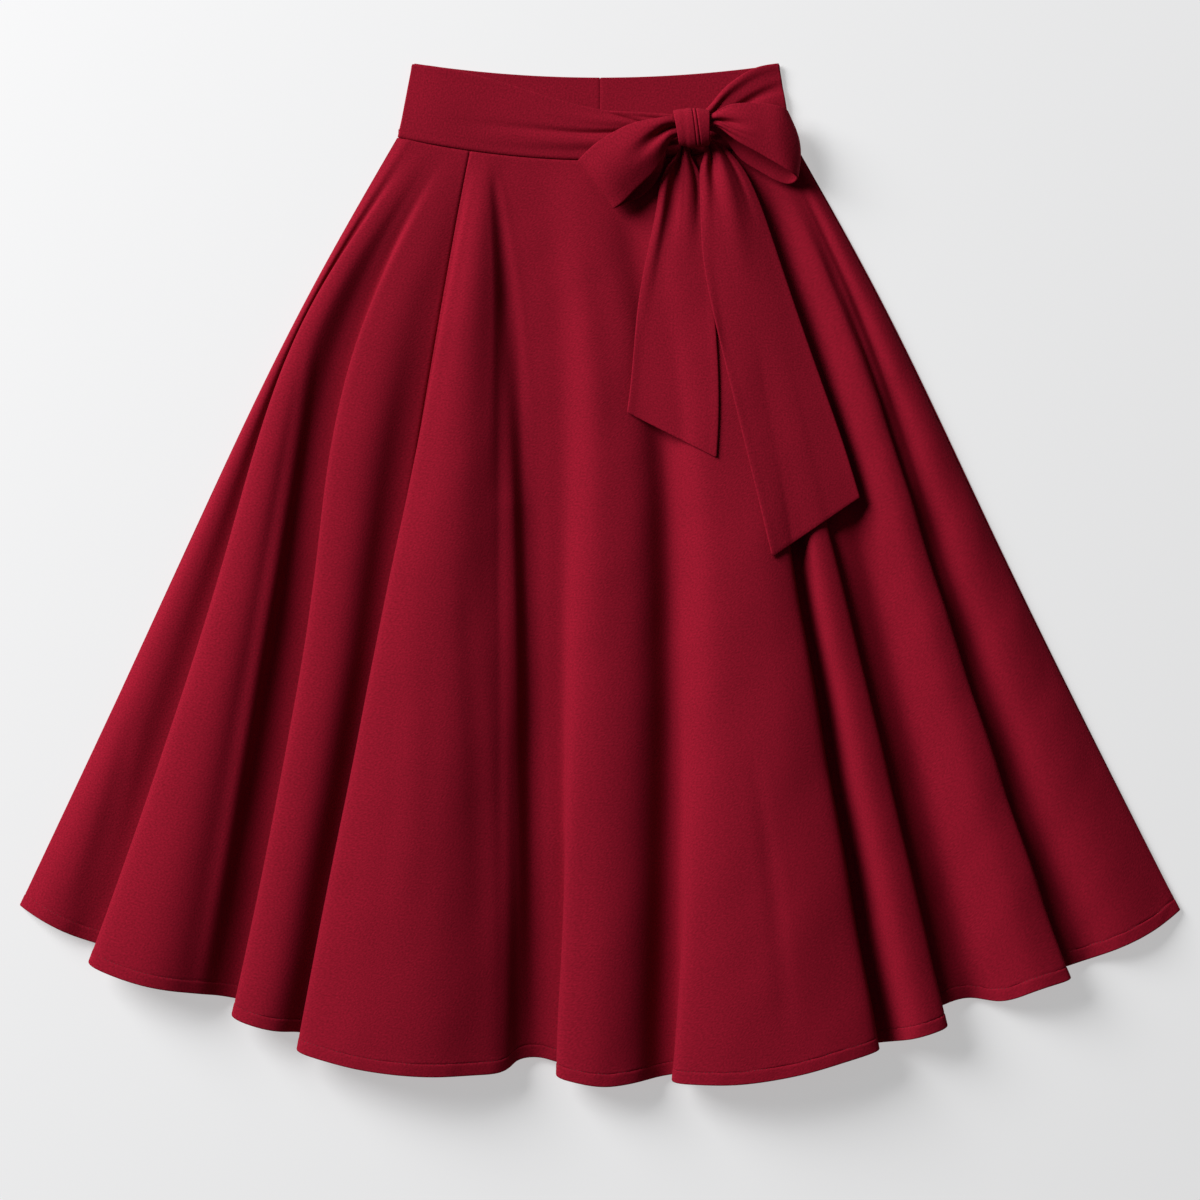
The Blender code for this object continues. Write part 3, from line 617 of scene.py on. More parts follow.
def mesh_object(name, points, faces, uv, material):
    """A smooth-shaded mesh object from arrays of points and of faces with four corners each."""
    mesh = bpy.data.meshes.new(name)
    mesh.vertices.add(len(points))
    mesh.vertices.foreach_set("co", points.astype(np.float32).ravel())
    mesh.loops.add(faces.size)
    mesh.loops.foreach_set("vertex_index", faces.astype(np.int32).ravel())
    mesh.polygons.add(len(faces))
    mesh.polygons.foreach_set("loop_start", np.arange(0, faces.size, 4, dtype=np.int32))
    layer = mesh.uv_layers.new(name="cloth")
    layer.data.foreach_set("uv", uv[faces.ravel()].astype(np.float32).ravel())
    mesh.update(calc_edges=True)
    mesh.validate()
    mesh.shade_smooth()
    mesh.materials.append(material)
    piece = bpy.data.objects.new(name, mesh)
    bpy.context.scene.collection.objects.link(piece)
    return piece


def front_lines(share):
    """Each fold line of the front at the shares of the way down: (rows, lines, 3).

    X is a spline through its four stations, y runs straight to the hem, and z rises from the waist
    quickly at first and then ever slower, by the way over the way plus a constant. The lines of
    the side panels start later: their way is the share times 1 less an exponential that dies out.
    """
    line = by_column(FRONT_LINE_COLUMNS, FRONT_LINES)
    anchors = [FRONT_LINE_NAMES.index(name) for name, _ in WAIST_ANCHORS]
    x_waist = np.interp(range(len(FRONT_LINES)), anchors, [x for _, x in WAIST_ANCHORS])
    z_waist = np.full(len(FRONT_LINES), FRONT_WAIST_Z)
    z_waist[[0, -1]] = line["z_hem"][[0, -1]]
    z_waist[[1, -2]] = (line["z_hem"][0] + FRONT_WAIST_Z) / 2
    stations = np.stack([x_waist, line["x_fifth"], line["x_half"], line["x_hem"]])
    x = spline(SECTION_STATIONS, stations, share)
    y_start = waist_y(x_waist) - WAIST_SEAM_GAP / 2
    y = y_start + (line["y_hem"] - y_start) * share[:, None]
    first, last = (FRONT_LINE_NAMES.index(name) for name in FRONT_SEAMS)
    at_side = np.ones(len(FRONT_LINES))
    at_side[first + 1 : last + 1] = 0.0
    begun = share[:, None] * (1 - at_side * np.exp(-share[:, None] / SIDE_START))
    rise = (1 + RISE_SOFTNESS) * begun / (begun + RISE_SOFTNESS)
    z = z_waist + (line["z_hem"] - z_waist) * rise
    return np.stack([x, y, z], axis=-1)


def crowded(start, end, count):
    """Places that run from an edge's own at the start to those at the end, evenly in between."""
    return np.concatenate([start, np.linspace(start[-1], end[0], count)[1:-1], end])


def panel_rows(half):
    """Shares of the way down for a panel's rows, crowded at the waist seam and at the hem."""
    waist = (half + EDGE_DISTANCES) / NOMINAL_LENGTH
    hem = 1 - (half + HEM_DISTANCES) / NOMINAL_LENGTH
    return crowded(waist, hem[::-1], PANEL_ROWS)


def line_at(knots, place):
    """The distance along each section at a place that counts fold lines, such as 14.5."""
    line = np.minimum(int(place), knots.shape[1] - 2)
    return knots[:, line] + (place - line) * (knots[:, line + 1] - knots[:, line])


def edged(places, start, end):
    """Places from start to end in each row, squeezed to leave room for a seam's own columns."""
    near = EDGE_DISTANCES
    start, end = start[:, None], end[:, None]
    way = (places - places[:, :1]) / (places[:, -1:] - places[:, :1])
    inner = start + near[-1] + way * (end - start - 2 * near[-1])
    return np.concatenate([start + near, inner[:, 1:-1], end - near[::-1]], axis=1)


def front_sections(half):
    """The front's fold lines in a panel's rows, and the distance along each row to every line."""
    lines = front_lines(panel_rows(half))
    return lines, lengths_along(lines, 1)


def front_relief(grid, at, down):
    """The height of the front's low waves and creases, which fades out at the waist seam."""
    relief = unevenness(at, down) + creased(grid[..., 0], grid[..., 1], FRONT_CREASES)
    return relief * np.clip(down / WAIST_FADE, 0, 1)


def front_panel(node, half):
    """One front panel: its middle surface, the distance above its hem, and its UV.

    Splines across the fold lines give the folds. The waves and creases are added along the
    normals, and the edges roll down into the seams.
    """
    lines, knots = front_sections(half)
    seams = [FRONT_LINE_NAMES.index(name) + SEAM_WAY for name in FRONT_SEAMS]
    ends = [0, *seams, len(FRONT_LINES) - 1]
    order = list(PANEL_COLUMNS).index(node)
    first, last = ends[order], ends[order + 1]
    places = np.stack([line_at(knots, u) for u in np.linspace(first, last, PANEL_COLUMNS[node])], 1)
    inset = half + SEAM_GAP / 2
    start = line_at(knots, first) + inset
    end = line_at(knots, last) - inset
    at = edged(places, start, end)
    grid = splines(knots, lines, at)
    from_left, from_right = at - start[:, None], end[:, None] - at
    down = lengths_along(grid, 0)
    lift = front_relief(grid, at, down)
    for distance, place in ((from_left, first), (from_right, last)):
        if place in seams:
            lift += rolled(distance)
        else:
            lift *= np.clip(distance / SIDE_FADE, 0, 1)
            lift += rolled(distance, SIDE_SEAM_DROP, SIDE_SEAM_WIDTH)
    lift += rolled(down)
    grid = grid + normals(grid) * lift[..., None]
    return grid, down[-1] - down, np.stack([at, -down], axis=-1)


def front_allowance(place, half):
    """The allowance under a seam of the front: the front's own surface, lowered along its normals."""
    lines, knots = front_sections(half)
    off = np.linspace(-ALLOWANCE_REACH, ALLOWANCE_REACH, ALLOWANCE_COLUMNS)
    at = line_at(knots, place)[:, None] + off
    grid = splines(knots, lines, at)
    down = lengths_along(grid, 0)
    lift = front_relief(grid, at, down) - ALLOWANCE_DROP
    return grid + normals(grid) * lift[..., None], np.stack([off + 0 * down, -down], axis=-1)


def waist_allowance():
    """The allowance under the waist seam: along the seam's curve, and lower towards its two ends."""
    left, right = WAIST_SIDE_WIDTHS[-1], WAIST_SIDE_WIDTHS[1]
    x = np.linspace(WAIST_END_INSET - left, right - WAIST_END_INSET, WAIST_ALLOWANCE_STEPS)
    off = np.linspace(ALLOWANCE_REACH, -ALLOWANCE_REACH, ALLOWANCE_COLUMNS)[:, None]
    y = waist_y(x) + off
    from_end = np.minimum(x + left, right - x)
    z = np.interp(from_end, WAIST_END_REACH, WAIST_END_HEIGHTS) - WAIST_ALLOWANCE_DROP
    grid = np.stack([x + 0 * y, y, z + 0 * y], axis=-1)
    return grid, grid[..., :2]


def back_allowance():
    """The allowance of the seam down the middle of the back, flat below its edges."""
    top = BAND_TOP_MIDDLE_Y - BACK_ALLOWANCE_INSET
    foot = BACK_HEM_SIDE_Y - BACK_HEM_DEPTH + BACK_ALLOWANCE_INSET
    y = np.linspace(top, foot, BACK_ALLOWANCE_ROWS)[:, None]
    x = np.linspace(-ALLOWANCE_REACH, ALLOWANCE_REACH, ALLOWANCE_COLUMNS) + 0 * y
    grid = np.stack([x, y + 0 * x, np.full_like(x, BACK_ALLOWANCE_Z)], axis=-1)
    return grid, grid[..., :2]


def turned_hem(up, sizes):
    """1 in the turned hem and 0 above it: a soft step, 1 over 1 plus an exponential of the height."""
    above = up - sizes.stitch_margin / MM - HEM_TURN_ABOVE
    return 1 / (1 + np.exp(above / HEM_TURN_SOFTNESS))


def hem_finish(grid, up, across, half, sizes):
    """The grid and half thickness with a turned hem: fuller below the stitches, dented by them.

    The dent is a bell curve of the distance from the stitches, deepest at each stitch by a cosine.
    The ripple is the product of two sines along the hem.
    """
    turned = turned_hem(up, sizes)
    pucker = np.cos(2 * np.pi * across / (sizes.stitch_length / MM))
    from_stitches = (up - sizes.stitch_margin / MM) / DENT_WIDTH
    dent = np.exp(-(from_stitches**2)) * (1 - DENT_SWING + DENT_SWING * pucker)
    short, long = HEM_RIPPLES
    ripple = HEM_RIPPLE_HEIGHT * turned * np.sin(across / short) * np.sin(across / long + 1)
    lift = (sizes.hem_fullness / MM) * turned - (sizes.stitch_dent / MM) * dent + ripple
    return grid + normals(grid) * lift[..., None], half * (1 + HEM_THICKER * turned)


def top_of(grid, thick):
    """The upper face of cloth round a grid."""
    return grid + normals(grid) * thick[..., None]


def half_of(thickness):
    """Half of a thickness that is given in metres, in millimetres."""
    return thickness / MM / 2


def front_cloth(node, sizes):
    """A finished front panel: middle surface, half thickness, distance above its edge, and UV."""
    half = half_of(sizes.cloth_thickness)
    grid, up, uv = front_panel(node, half)
    grid, thick = hem_finish(grid, up, uv[..., 0], half, sizes)
    return grid, thick, up, uv


def columns_to_side(width, half, count):
    """Shares of the way from the middle of the back to its side, and how far each column is moved.

    The first column stands back from the seam in the middle by the cloth's half thickness, and
    the last one from the side.
    """
    near = EDGE_DISTANCES / width
    across = crowded(near, 1 - near[::-1], count)
    return across, (1 - across) * (SEAM_GAP / 2 + half) - across * half


def back_panel(side, sizes):
    """One half of the back, flat on the floor but for a few low creases: -1 is the left half."""
    half = half_of(sizes.cloth_thickness)
    share = panel_rows(half)[:, None]
    across, edge = columns_to_side(BACK_HEM_HALF_WIDTH, half, BACK_PANEL_COLUMNS)
    x_waist = side * (across * (WAIST_SIDE_WIDTHS[side] + BACK_SIDE_MARGIN) + edge)
    x_hem = side * (across * BACK_HEM_HALF_WIDTH + edge)
    bow = spline(SECTION_STATIONS, np.array(BACK_SIDE_BOWS[side])[:, None], share[:, 0])
    x = x_waist + (x_hem - x_waist) * share + side * across * bow
    y_hem = BACK_HEM_SIDE_Y - BACK_HEM_DEPTH * (1 - across**2)
    y_start = waist_y(x_waist) - WAIST_SEAM_GAP / 2
    y = y_start + (y_hem - y_start) * share
    z = half * (1 + HEM_THICKER) + FLOOR_CLEARANCE + creased(x, y, BACK_CREASES)
    grid = np.stack([x, y, z], axis=-1)
    if side < 0:
        grid = grid[:, ::-1]
    down = lengths_along(grid, 0)
    up = down[-1] - down
    uv = np.stack([grid[..., 0], -down], axis=-1)
    return grid, half * (1 + HEM_THICKER * turned_hem(up, sizes)), up, uv


def back_band(side, half):
    """One half of the back waistband, flat, with low swells by the square of a sine.

    Its edge rolls down a little at the seam in the middle.
    """
    across, edge = columns_to_side(WAIST_HALF_WIDTH, half, BACK_BAND_COLUMNS)
    up = crowded(EDGE_DISTANCES, BACK_BAND_HEIGHT - EDGE_DISTANCES[::-1], BACK_BAND_ROWS)
    up = up[:, None] / BACK_BAND_HEIGHT
    low_x = side * (across * WAIST_SIDE_WIDTHS[side] + edge)
    high_x = side * (across * BAND_TOP_SIDE_WIDTHS[side] + edge)
    low_y = waist_y(low_x) + WAIST_SEAM_GAP / 2 + half
    high_y = band_top_y(high_x) - half
    x = low_x + (high_x - low_x) * up
    y = low_y + (high_y - low_y) * up
    from_centre = np.abs(x) - SEAM_GAP / 2 - half
    swell = np.sin(np.abs(x) / BACK_BAND_SWELL_LENGTH) ** 2 * np.sin(np.pi * up) ** 2
    z = half + FLOOR_CLEARANCE + BACK_BAND_LIFT + BACK_BAND_SWELL * swell
    z = z + rolled(from_centre, *BACK_BAND_ROLL)
    grid = np.stack([x, y, z], axis=-1)[::-1]
    if side < 0:
        grid = grid[:, ::-1]
    return grid, half, grid[..., :2]


def gathered(distance, share, gathers):
    """The height that gathers add at a distance from the knot and a share of the width.

    Each is a squared cosine across the tie and along it, and the knot squeezes it low.
    """
    squeeze = KNOT_SQUEEZE + (1 - KNOT_SQUEEZE) * np.minimum(distance / SQUEEZE_END, 1)
    height = np.zeros(np.broadcast_shapes(distance.shape, share.shape))
    for gather in by_row(GATHER_COLUMNS, gathers):
        way = np.minimum(distance / distance.max() / gather["reach"], 1)
        line = gather["share_at_knot"] + (gather["share_at_end"] - gather["share_at_knot"]) * way
        ridge = smooth_bump((share - line) / gather["half_width"])
        height += gather["height"] * squeeze * smooth_bump(way) * ridge
    return height


def smoothly_above(z, floor, softness):
    """The smooth greater of z and a floor: floor + softness * log(1 + exp((z - floor) / softness))."""
    return floor + softness * np.logaddexp(0.0, (z - floor) / softness)


def ribbon(table, gathers, half, knot_first=True):
    """A band or tie: its middle surface, half thickness and UV.

    Splines along the tie join the sections of the table. Across it, the points run straight from
    one edge to the other, raised by the crown's sine and by the gathers. A tie whose whole first
    edge lies on the waist seam is a half of the front band, which stays above the back band.
    """
    section = by_column(RIBBON_COLUMNS, table)
    seam_y = waist_y(section["a_x"]) + WAIST_SEAM_GAP / 2
    on_seam = np.isnan(section["a_y"])
    section["a_y"] = np.where(on_seam, seam_y, section["a_y"])
    rows = np.stack([section[name] for name in RIBBON_COLUMNS], axis=1)
    knots = lengths_along((rows[:, 0:3] + rows[:, 3:6]) / 2, 0)
    even = np.interp(np.linspace(0, 1, RIBBON_STEPS * (len(rows) - 1) + 1),
                     np.linspace(0, 1, len(rows)), knots)
    at = half + even * (knots[-1] - 2 * half) / knots[-1]
    smooth = spline(knots, rows, at)
    a_edge, b_edge, crown = smooth[:, 0:3], smooth[:, 3:6], smooth[:, 6:7]
    width = np.linalg.norm(b_edge - a_edge, axis=1)[:, None]
    facing = unit(np.cross(np.gradient(a_edge + b_edge, axis=0), b_edge - a_edge))
    facing *= np.sign(facing[0 if knot_first else -1, 2])
    even = np.linspace(0, 1, RIBBON_COLUMNS_ACROSS + 1)
    share = even + EDGE_CROWDING * ((1 - np.cos(np.pi * even)) / 2 - even)
    inset = half / width
    share = inset + share * (1 - 2 * inset)
    distance = at if knot_first else at[-1] - at
    bulge = crown * np.sin(np.pi * share) + gathered(distance[:, None], share, gathers)
    from_edge = np.minimum(share, 1 - share) * width
    full = EDGE_FULLNESS * smooth_bump((from_edge - EDGE_FULLEST) / EDGE_FULL_WIDTH)
    if on_seam.all():
        bulge += rolled(share * width - half)
    grid = a_edge[:, None] + (b_edge - a_edge)[:, None] * share[..., None]
    grid += facing[:, None] * bulge[..., None]
    if on_seam.all():
        grid[..., 2] = smoothly_above(grid[..., 2], BAND_FLOOR, BAND_FLOOR_SOFTNESS)
    uv = np.stack([(share - 0.5) * width, -at[:, None] + 0 * share], axis=-1)
    thick = half * (1 + full)
    if (normals(grid) * facing[:, None]).sum() < 0:
        grid, uv, thick = grid[:, ::-1], uv[:, ::-1], thick[:, ::-1]
    return grid, thick, uv


def front_bands(sizes):
    """The two halves of the front waistband, by node: middle surface, half thickness and UV."""
    half = half_of(sizes.band_thickness)
    return {
        "waistband_front_left": ribbon(BAND_LEFT, BAND_LEFT_GATHERS, half, knot_first=False),
        "waistband_front_right": ribbon(BAND_RIGHT, BAND_RIGHT_GATHERS, half),
    }


def height_map(surfaces):
    """The highest z of the surfaces over square cells, spread a few cells and then softened."""
    heights = np.full(MAP_SIZE, -np.inf)
    for surface in surfaces:
        rows, columns = surface.shape[:2]
        down, across = (
            np.linspace(0, n - 1, (n - 1) * MAP_REFINING + 1) for n in (rows, columns)
        )
        i, j = np.minimum(down.astype(int), rows - 2), np.minimum(across.astype(int), columns - 2)
        a, b = (down - i)[:, None, None], (across - j)[None, :, None]
        upper = surface[i][:, j] * (1 - b) + surface[i][:, j + 1] * b
        lower = surface[i + 1][:, j] * (1 - b) + surface[i + 1][:, j + 1] * b
        points = (upper * (1 - a) + lower * a).reshape(-1, 3)
        cell = np.floor((points[:, :2] - MAP_CORNER) / MAP_CELL).astype(int)
        inside = ((cell >= 0) & (cell < MAP_SIZE)).all(axis=1)
        np.maximum.at(heights, tuple(cell[inside].T), points[inside, 2])

    def shifted(axis, reach):
        return [np.roll(heights, step, axis) for step in range(-reach, reach + 1)]

    for axis in (0, 1):
        heights = np.max(shifted(axis, MAP_SPREAD), axis=0)
    heights = np.where(np.isfinite(heights), heights, 0.0)
    for axis in (0, 1, 0, 1):
        heights = np.mean(shifted(axis, MAP_SOFTENING), axis=0)
    return heights


def lifted(grid, thick, under):
    """The grid raised where it would touch what lies under it.

    The floor is the height map read between its cells, and the grid's z is the smooth greater of
    itself and that floor.
    """
    heights = height_map(under)
    place = (grid[..., :2] - MAP_CORNER) / MAP_CELL - 0.5
    place = np.clip(place, 0, np.array(MAP_SIZE) - MAP_LAST_CELL)
    i, j = place[..., 0].astype(int), place[..., 1].astype(int)
    a, b = place[..., 0] - i, place[..., 1] - j
    floor = (heights[i, j] * (1 - a) + heights[i + 1, j] * a) * (1 - b)
    floor += (heights[i, j + 1] * (1 - a) + heights[i + 1, j + 1] * a) * b
    floor += thick + LAYER_GAP
    z = smoothly_above(grid[..., 2], floor, LIFT_SOFTNESS)
    return np.concatenate([grid[..., :2], z[..., None]], axis=-1)


def knot_wrap(half):
    """The knot: an oval tube round X, narrower at its ends, creased round it, open underneath.

    Its radius is 1 less a squared pinch and the creases, and its left end leans in at the foot.
    """
    along = np.linspace(-1.0, 1.0, KNOT_COLUMNS + 1)
    turn = np.radians(np.linspace(-KNOT_WRAP_DEGREES, KNOT_WRAP_DEGREES, KNOT_ROWS + 1))[:, None]
    size = 1 - KNOT_PINCH * along**2 + 0 * turn
    for crease in by_row(KNOT_CREASE_COLUMNS, KNOT_CREASES):
        line = crease["place"] + crease["slant"] * np.sin(turn)
        size = size - crease["depth"] * smooth_bump((along - line) / crease["half_width"])
    lean = KNOT_LEAN * (1 - along) / 2 * (1 - np.sin(turn)) / 2
    x = KNOT_CENTRE[0] + (KNOT_HALF_LENGTH - half) * (along + lean)
    y = KNOT_CENTRE[1] + KNOT_RADIUS_Y * size * np.sin(turn)
    z = KNOT_CENTRE[2] + KNOT_RADIUS_Z * size * np.cos(turn)
    grid = np.stack([x, y, z], axis=-1)[::-1]
    uv = np.stack([x, KNOT_RADIUS_Y * turn + 0 * x], axis=-1)[::-1]
    return grid, half, uv


def line_of_stitches(name, path, normal, sizes, material):
    """Stitches in a row along a path: each a barrel whose radius follows the table of rings.

    The path's length is cut into even stitches. A stitch's ring lies across the path, turned by
    equal angles, and is pressed flatter along the normal.
    """
    length = lengths_along(path, 0)
    pitch = sizes.stitch_length / MM
    centres = np.arange(pitch, length[-1] - pitch, pitch)

    def read(values, at):
        return np.stack([np.interp(at, length, column) for column in values.T], axis=-1)

    spots, up = read(path, centres), unit(read(normal, centres))
    forward = unit(read(path, centres + 1) - spots)
    side = np.cross(up, forward)
    spots = spots - up * STITCH_SINK
    rings = half_of(sizes.thread_width) * np.array(STITCH_RINGS)[:, None]
    turn = 2 * np.pi * np.arange(STITCH_SIDES) / STITCH_SIDES
    reach = (pitch / 2 - STITCH_GAP) * np.linspace(-1, 1, len(STITCH_RINGS))[:, None] + 0 * turn
    across = rings * np.cos(turn)
    rise = rings * (STITCH_FLATNESS * np.sin(turn) + STITCH_RISE)
    ways = ((forward, reach), (side, across), (up, rise))
    points = spots[:, None, None] + sum(way[:, None, None] * far[..., None] for way, far in ways)
    index = np.arange(points[..., 0].size).reshape(points.shape[:3])
    ahead_index = np.roll(index, -1, axis=2)
    faces = np.stack([index[:, :-1], ahead_index[:, :-1], ahead_index[:, 1:], index[:, 1:]], axis=-1)
    flat = points.reshape(-1, 3)
    return mesh_object(name, flat * MM, faces.reshape(-1, 4), flat[:, :2] * MM, material)


def row_at(grid, up, margin):
    """The points of a grid at a distance above its last row, one for each column."""
    below = (up >= margin).sum(axis=0) - 1
    columns = np.arange(grid.shape[1])
    high, low = up[below, columns], up[below + 1, columns]
    way = ((high - margin) / (high - low))[:, None]
    return grid[below, columns] * (1 - way) + grid[below + 1, columns] * way


def add_node(tree, kind, place, values=(), links=(), **settings):
    """Adds a node, sets its own settings and its inputs' values, and links what feeds them."""
    node = tree.nodes.new(kind)
    node.location = place
    for name, value in settings.items():
        setattr(node, name, value)
    for name, value in dict(values).items():
        node.inputs[name].default_value = value
    for name, source in dict(links).items():
        tree.links.new(source, node.inputs[name])
    return node


def new_material(name, coordinates):
    """A new material, its node tree, and the link to the coordinates that its patterns follow."""
    material = bpy.data.materials.new(name)
    material.use_nodes = True
    tree = material.node_tree
    tree.nodes.clear()
    place = add_node(tree, "ShaderNodeTexCoord", (-1200, 0))
    return material, tree, {"Vector": place.outputs[coordinates]}


def add_surface(tree, height, relief, values, links=()):
    """Ends a material: a bump of the height by its relief, the surface's values, and the output."""
    bump = add_node(tree, "ShaderNodeBump", (-420, 0), relief, {"Height": height})
    links = {**dict(links), "Normal": bump.outputs["Normal"]}
    surface = add_node(tree, "ShaderNodeBsdfPrincipled", (-120, 200), values, links)
    add_node(
        tree, "ShaderNodeOutputMaterial", (180, 200), (), {"Surface": surface.outputs["BSDF"]}
    )


def crepe(colours):
    """Wool-like polyester crepe: twisted yarn woven tight, then steamed, so it never lies smooth.

    To the eye it is a deep, matt red with a fine pebbled grain and hardly any shine, a little
    lighter where the nap is seen from the side. The real grain is about 0.7 mm, and it is drawn at
    1.6 mm, because less would not show.
    """
    material, tree, cloth = new_material("red_crepe", "UV")
    grain = add_node(
        tree, "ShaderNodeTexNoise", (-900, 200),
        {"Scale": GRAIN_SCALE, "Detail": 2.0, "Roughness": 0.5}, cloth,
    )
    pebble = add_node(
        tree, "ShaderNodeTexVoronoi", (-900, -100), {"Scale": GRAIN_SCALE, "Randomness": 1.0},
        cloth, feature="SMOOTH_F1",
    )
    cloud = add_node(
        tree, "ShaderNodeTexNoise", (-900, 500),
        {"Scale": 26.0, "Detail": 4.0, "Roughness": 0.55}, cloth,
    )
    mottled = add_node(
        tree, "ShaderNodeMix", (-620, 360), {"Factor": 0.12},
        {"A": grain.outputs["Fac"], "B": cloud.outputs["Fac"]},
    )
    colour = add_node(
        tree, "ShaderNodeValToRGB", (-420, 360), (), {"Fac": mottled.outputs["Result"]},
    )
    low, high = colour.color_ramp.elements
    low.position, high.position = 0.32, 0.68
    low.color, high.color = colours.cloth_dark, colours.cloth_light
    relief = add_node(
        tree, "ShaderNodeMath", (-620, 0), (),
        {0: grain.outputs["Fac"], 1: pebble.outputs["Distance"]}, operation="SUBTRACT",
    )
    add_surface(
        tree, relief.outputs["Value"], {"Strength": 0.25, "Distance": 0.0004},
        {"Roughness": 0.9, "Specular IOR Level": 0.06, "IOR": 1.46, "Sheen Weight": 0.03,
         "Sheen Roughness": 0.4, "Sheen Tint": colours.sheen},
        {"Base Color": colour.outputs["Color"]},
    )
    return material


def thread(colours):
    """Spun polyester sewing thread: two plies twisted, a shade deeper than the cloth.

    It catches a little more light than the crepe, in slanting plies 0.35 mm apart.
    """
    material, tree, cloth = new_material("thread", "UV")
    plies = add_node(
        tree, "ShaderNodeTexWave", (-620, 0), {"Scale": 450.0, "Distortion": 0.6}, cloth,
        bands_direction="DIAGONAL",
    )
    add_surface(
        tree, plies.outputs["Fac"], {"Strength": 0.4, "Distance": 0.0001},
        {"Base Color": colours.thread, "Roughness": 0.6, "IOR": 1.54},
    )
    return material


def floor_with_painted_glow(colours):
    """Pale floor, milky and sanded matt, with a painted glow: it gives off light, though it is no
    lamp.

    That painted glow fills the shadows round the skirt, so that they stay pale.
    """
    material, tree, floor = new_material("floor_with_painted_glow", "Object")
    tooth = add_node(
        tree, "ShaderNodeTexNoise", (-620, 0), {"Scale": 900.0, "Detail": 2.0}, floor
    )
    add_surface(
        tree, tooth.outputs["Fac"], {"Strength": 0.05, "Distance": 0.0002},
        {"Base Color": colours.floor, "Roughness": 0.6, "IOR": 1.49, "Specular IOR Level": 0.2,
         # Painted glow: the floor's emission lifts the shadows round the skirt, though the floor is no
         # lamp
         "Emission Color": colours.floor_painted_glow, "Emission Strength": 0.45},
    )
    return material


def named_material(name, make):
    """The material of that name, made the first time that it is asked for."""
    return bpy.data.materials.get(name) or make(bpy.context.scene.skirt_colours)


def cloth_piece(node, grid, thick, uv, held, rests_on):
    """Makes a piece of red crepe in the place of its solid, and hides the solid."""
    piece = cloth_shell(node + "_cloth", grid, thick, uv, named_material("red_crepe", crepe))
    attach(piece, "root")
    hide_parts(node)


def length_property(name, description, millimetres):
    """A length that a user may change, given here in millimetres."""
    return bpy.props.FloatProperty(
        name=name, description=description, default=millimetres * MM, min=0.0,
        subtype="DISTANCE", unit="LENGTH", precision=5,
    )


def colour_property(name, description, hex_colour):
    """A colour that a user may change, given here as sRGB hex."""
    return bpy.props.FloatVectorProperty(
        name=name, description=description, default=linear(hex_colour), size=4, min=0.0, max=1.0,
        subtype="COLOR",
    )


class SkirtSizes(bpy.types.PropertyGroup):
    """Sizes of the cloth and the sewing."""

    cloth_thickness: length_property("Cloth", "Thickness of the panels' crepe", 1.2)
    band_thickness: length_property("Waistband", "Thickness of the doubled waistband", 1.7)
    tie_thickness: length_property("Ties", "Thickness of the doubled ties", 1.4)
    hem_fullness: length_property("Hem fullness", "How far the turned hem stands proud", 0.12)
    stitch_margin: length_property("Hem margin", "From the hem's edge to its stitches", 10.0)
    stitch_length: length_property("Stitch", "Length of one stitch with its gap", 3.0)
    stitch_dent: length_property("Stitch dent", "How deep the stitches sink the cloth", 0.8)
    thread_width: length_property("Thread", "Width of the sewing thread", 0.6)


class SkirtColours(bpy.types.PropertyGroup):
    """Colours of the cloth, the thread and the floor."""

    cloth_dark: colour_property("Cloth, low grain", "Crepe between its pebbles", "#770F20")
    cloth_light: colour_property("Cloth, high grain", "Crepe on top of its pebbles", "#95142A")
    sheen: colour_property("Cloth sheen", "Nap seen from the side", "#D8707C")
    thread: colour_property("Thread", "Sewing thread", "#30050D")
    # The floor's glow is a painted glow: the floor gives off light, though it is no lamp, and so lifts
    # the shadows round the skirt
    floor: colour_property("Floor", "Opal acrylic of the table", "#B7B7B8")
    floor_painted_glow: colour_property("Floor glow", "Light that comes up through it", "#FFFFFF")
    sky: colour_property("Room", "Light from all round", "#EEF1F6")


class SkirtStage(bpy.types.PropertyGroup):
    """Sizes of the stage: camera, lights and floor."""

    frame_width: length_property("Frame", "Width of the floor that the camera sees", 1020.0)
    lens: bpy.props.FloatProperty(
        name="Lens", description="Focal length of the camera", default=150.0, subtype="DISTANCE_CAMERA"
    )
    key_strength: bpy.props.FloatProperty(
        name="Key light", description="Power of the large soft light", default=500.0,
        subtype="POWER", unit="POWER",
    )
    room_strength: bpy.props.FloatProperty(
        name="Room light", description="Strength of the light from all round", default=0.06
    )


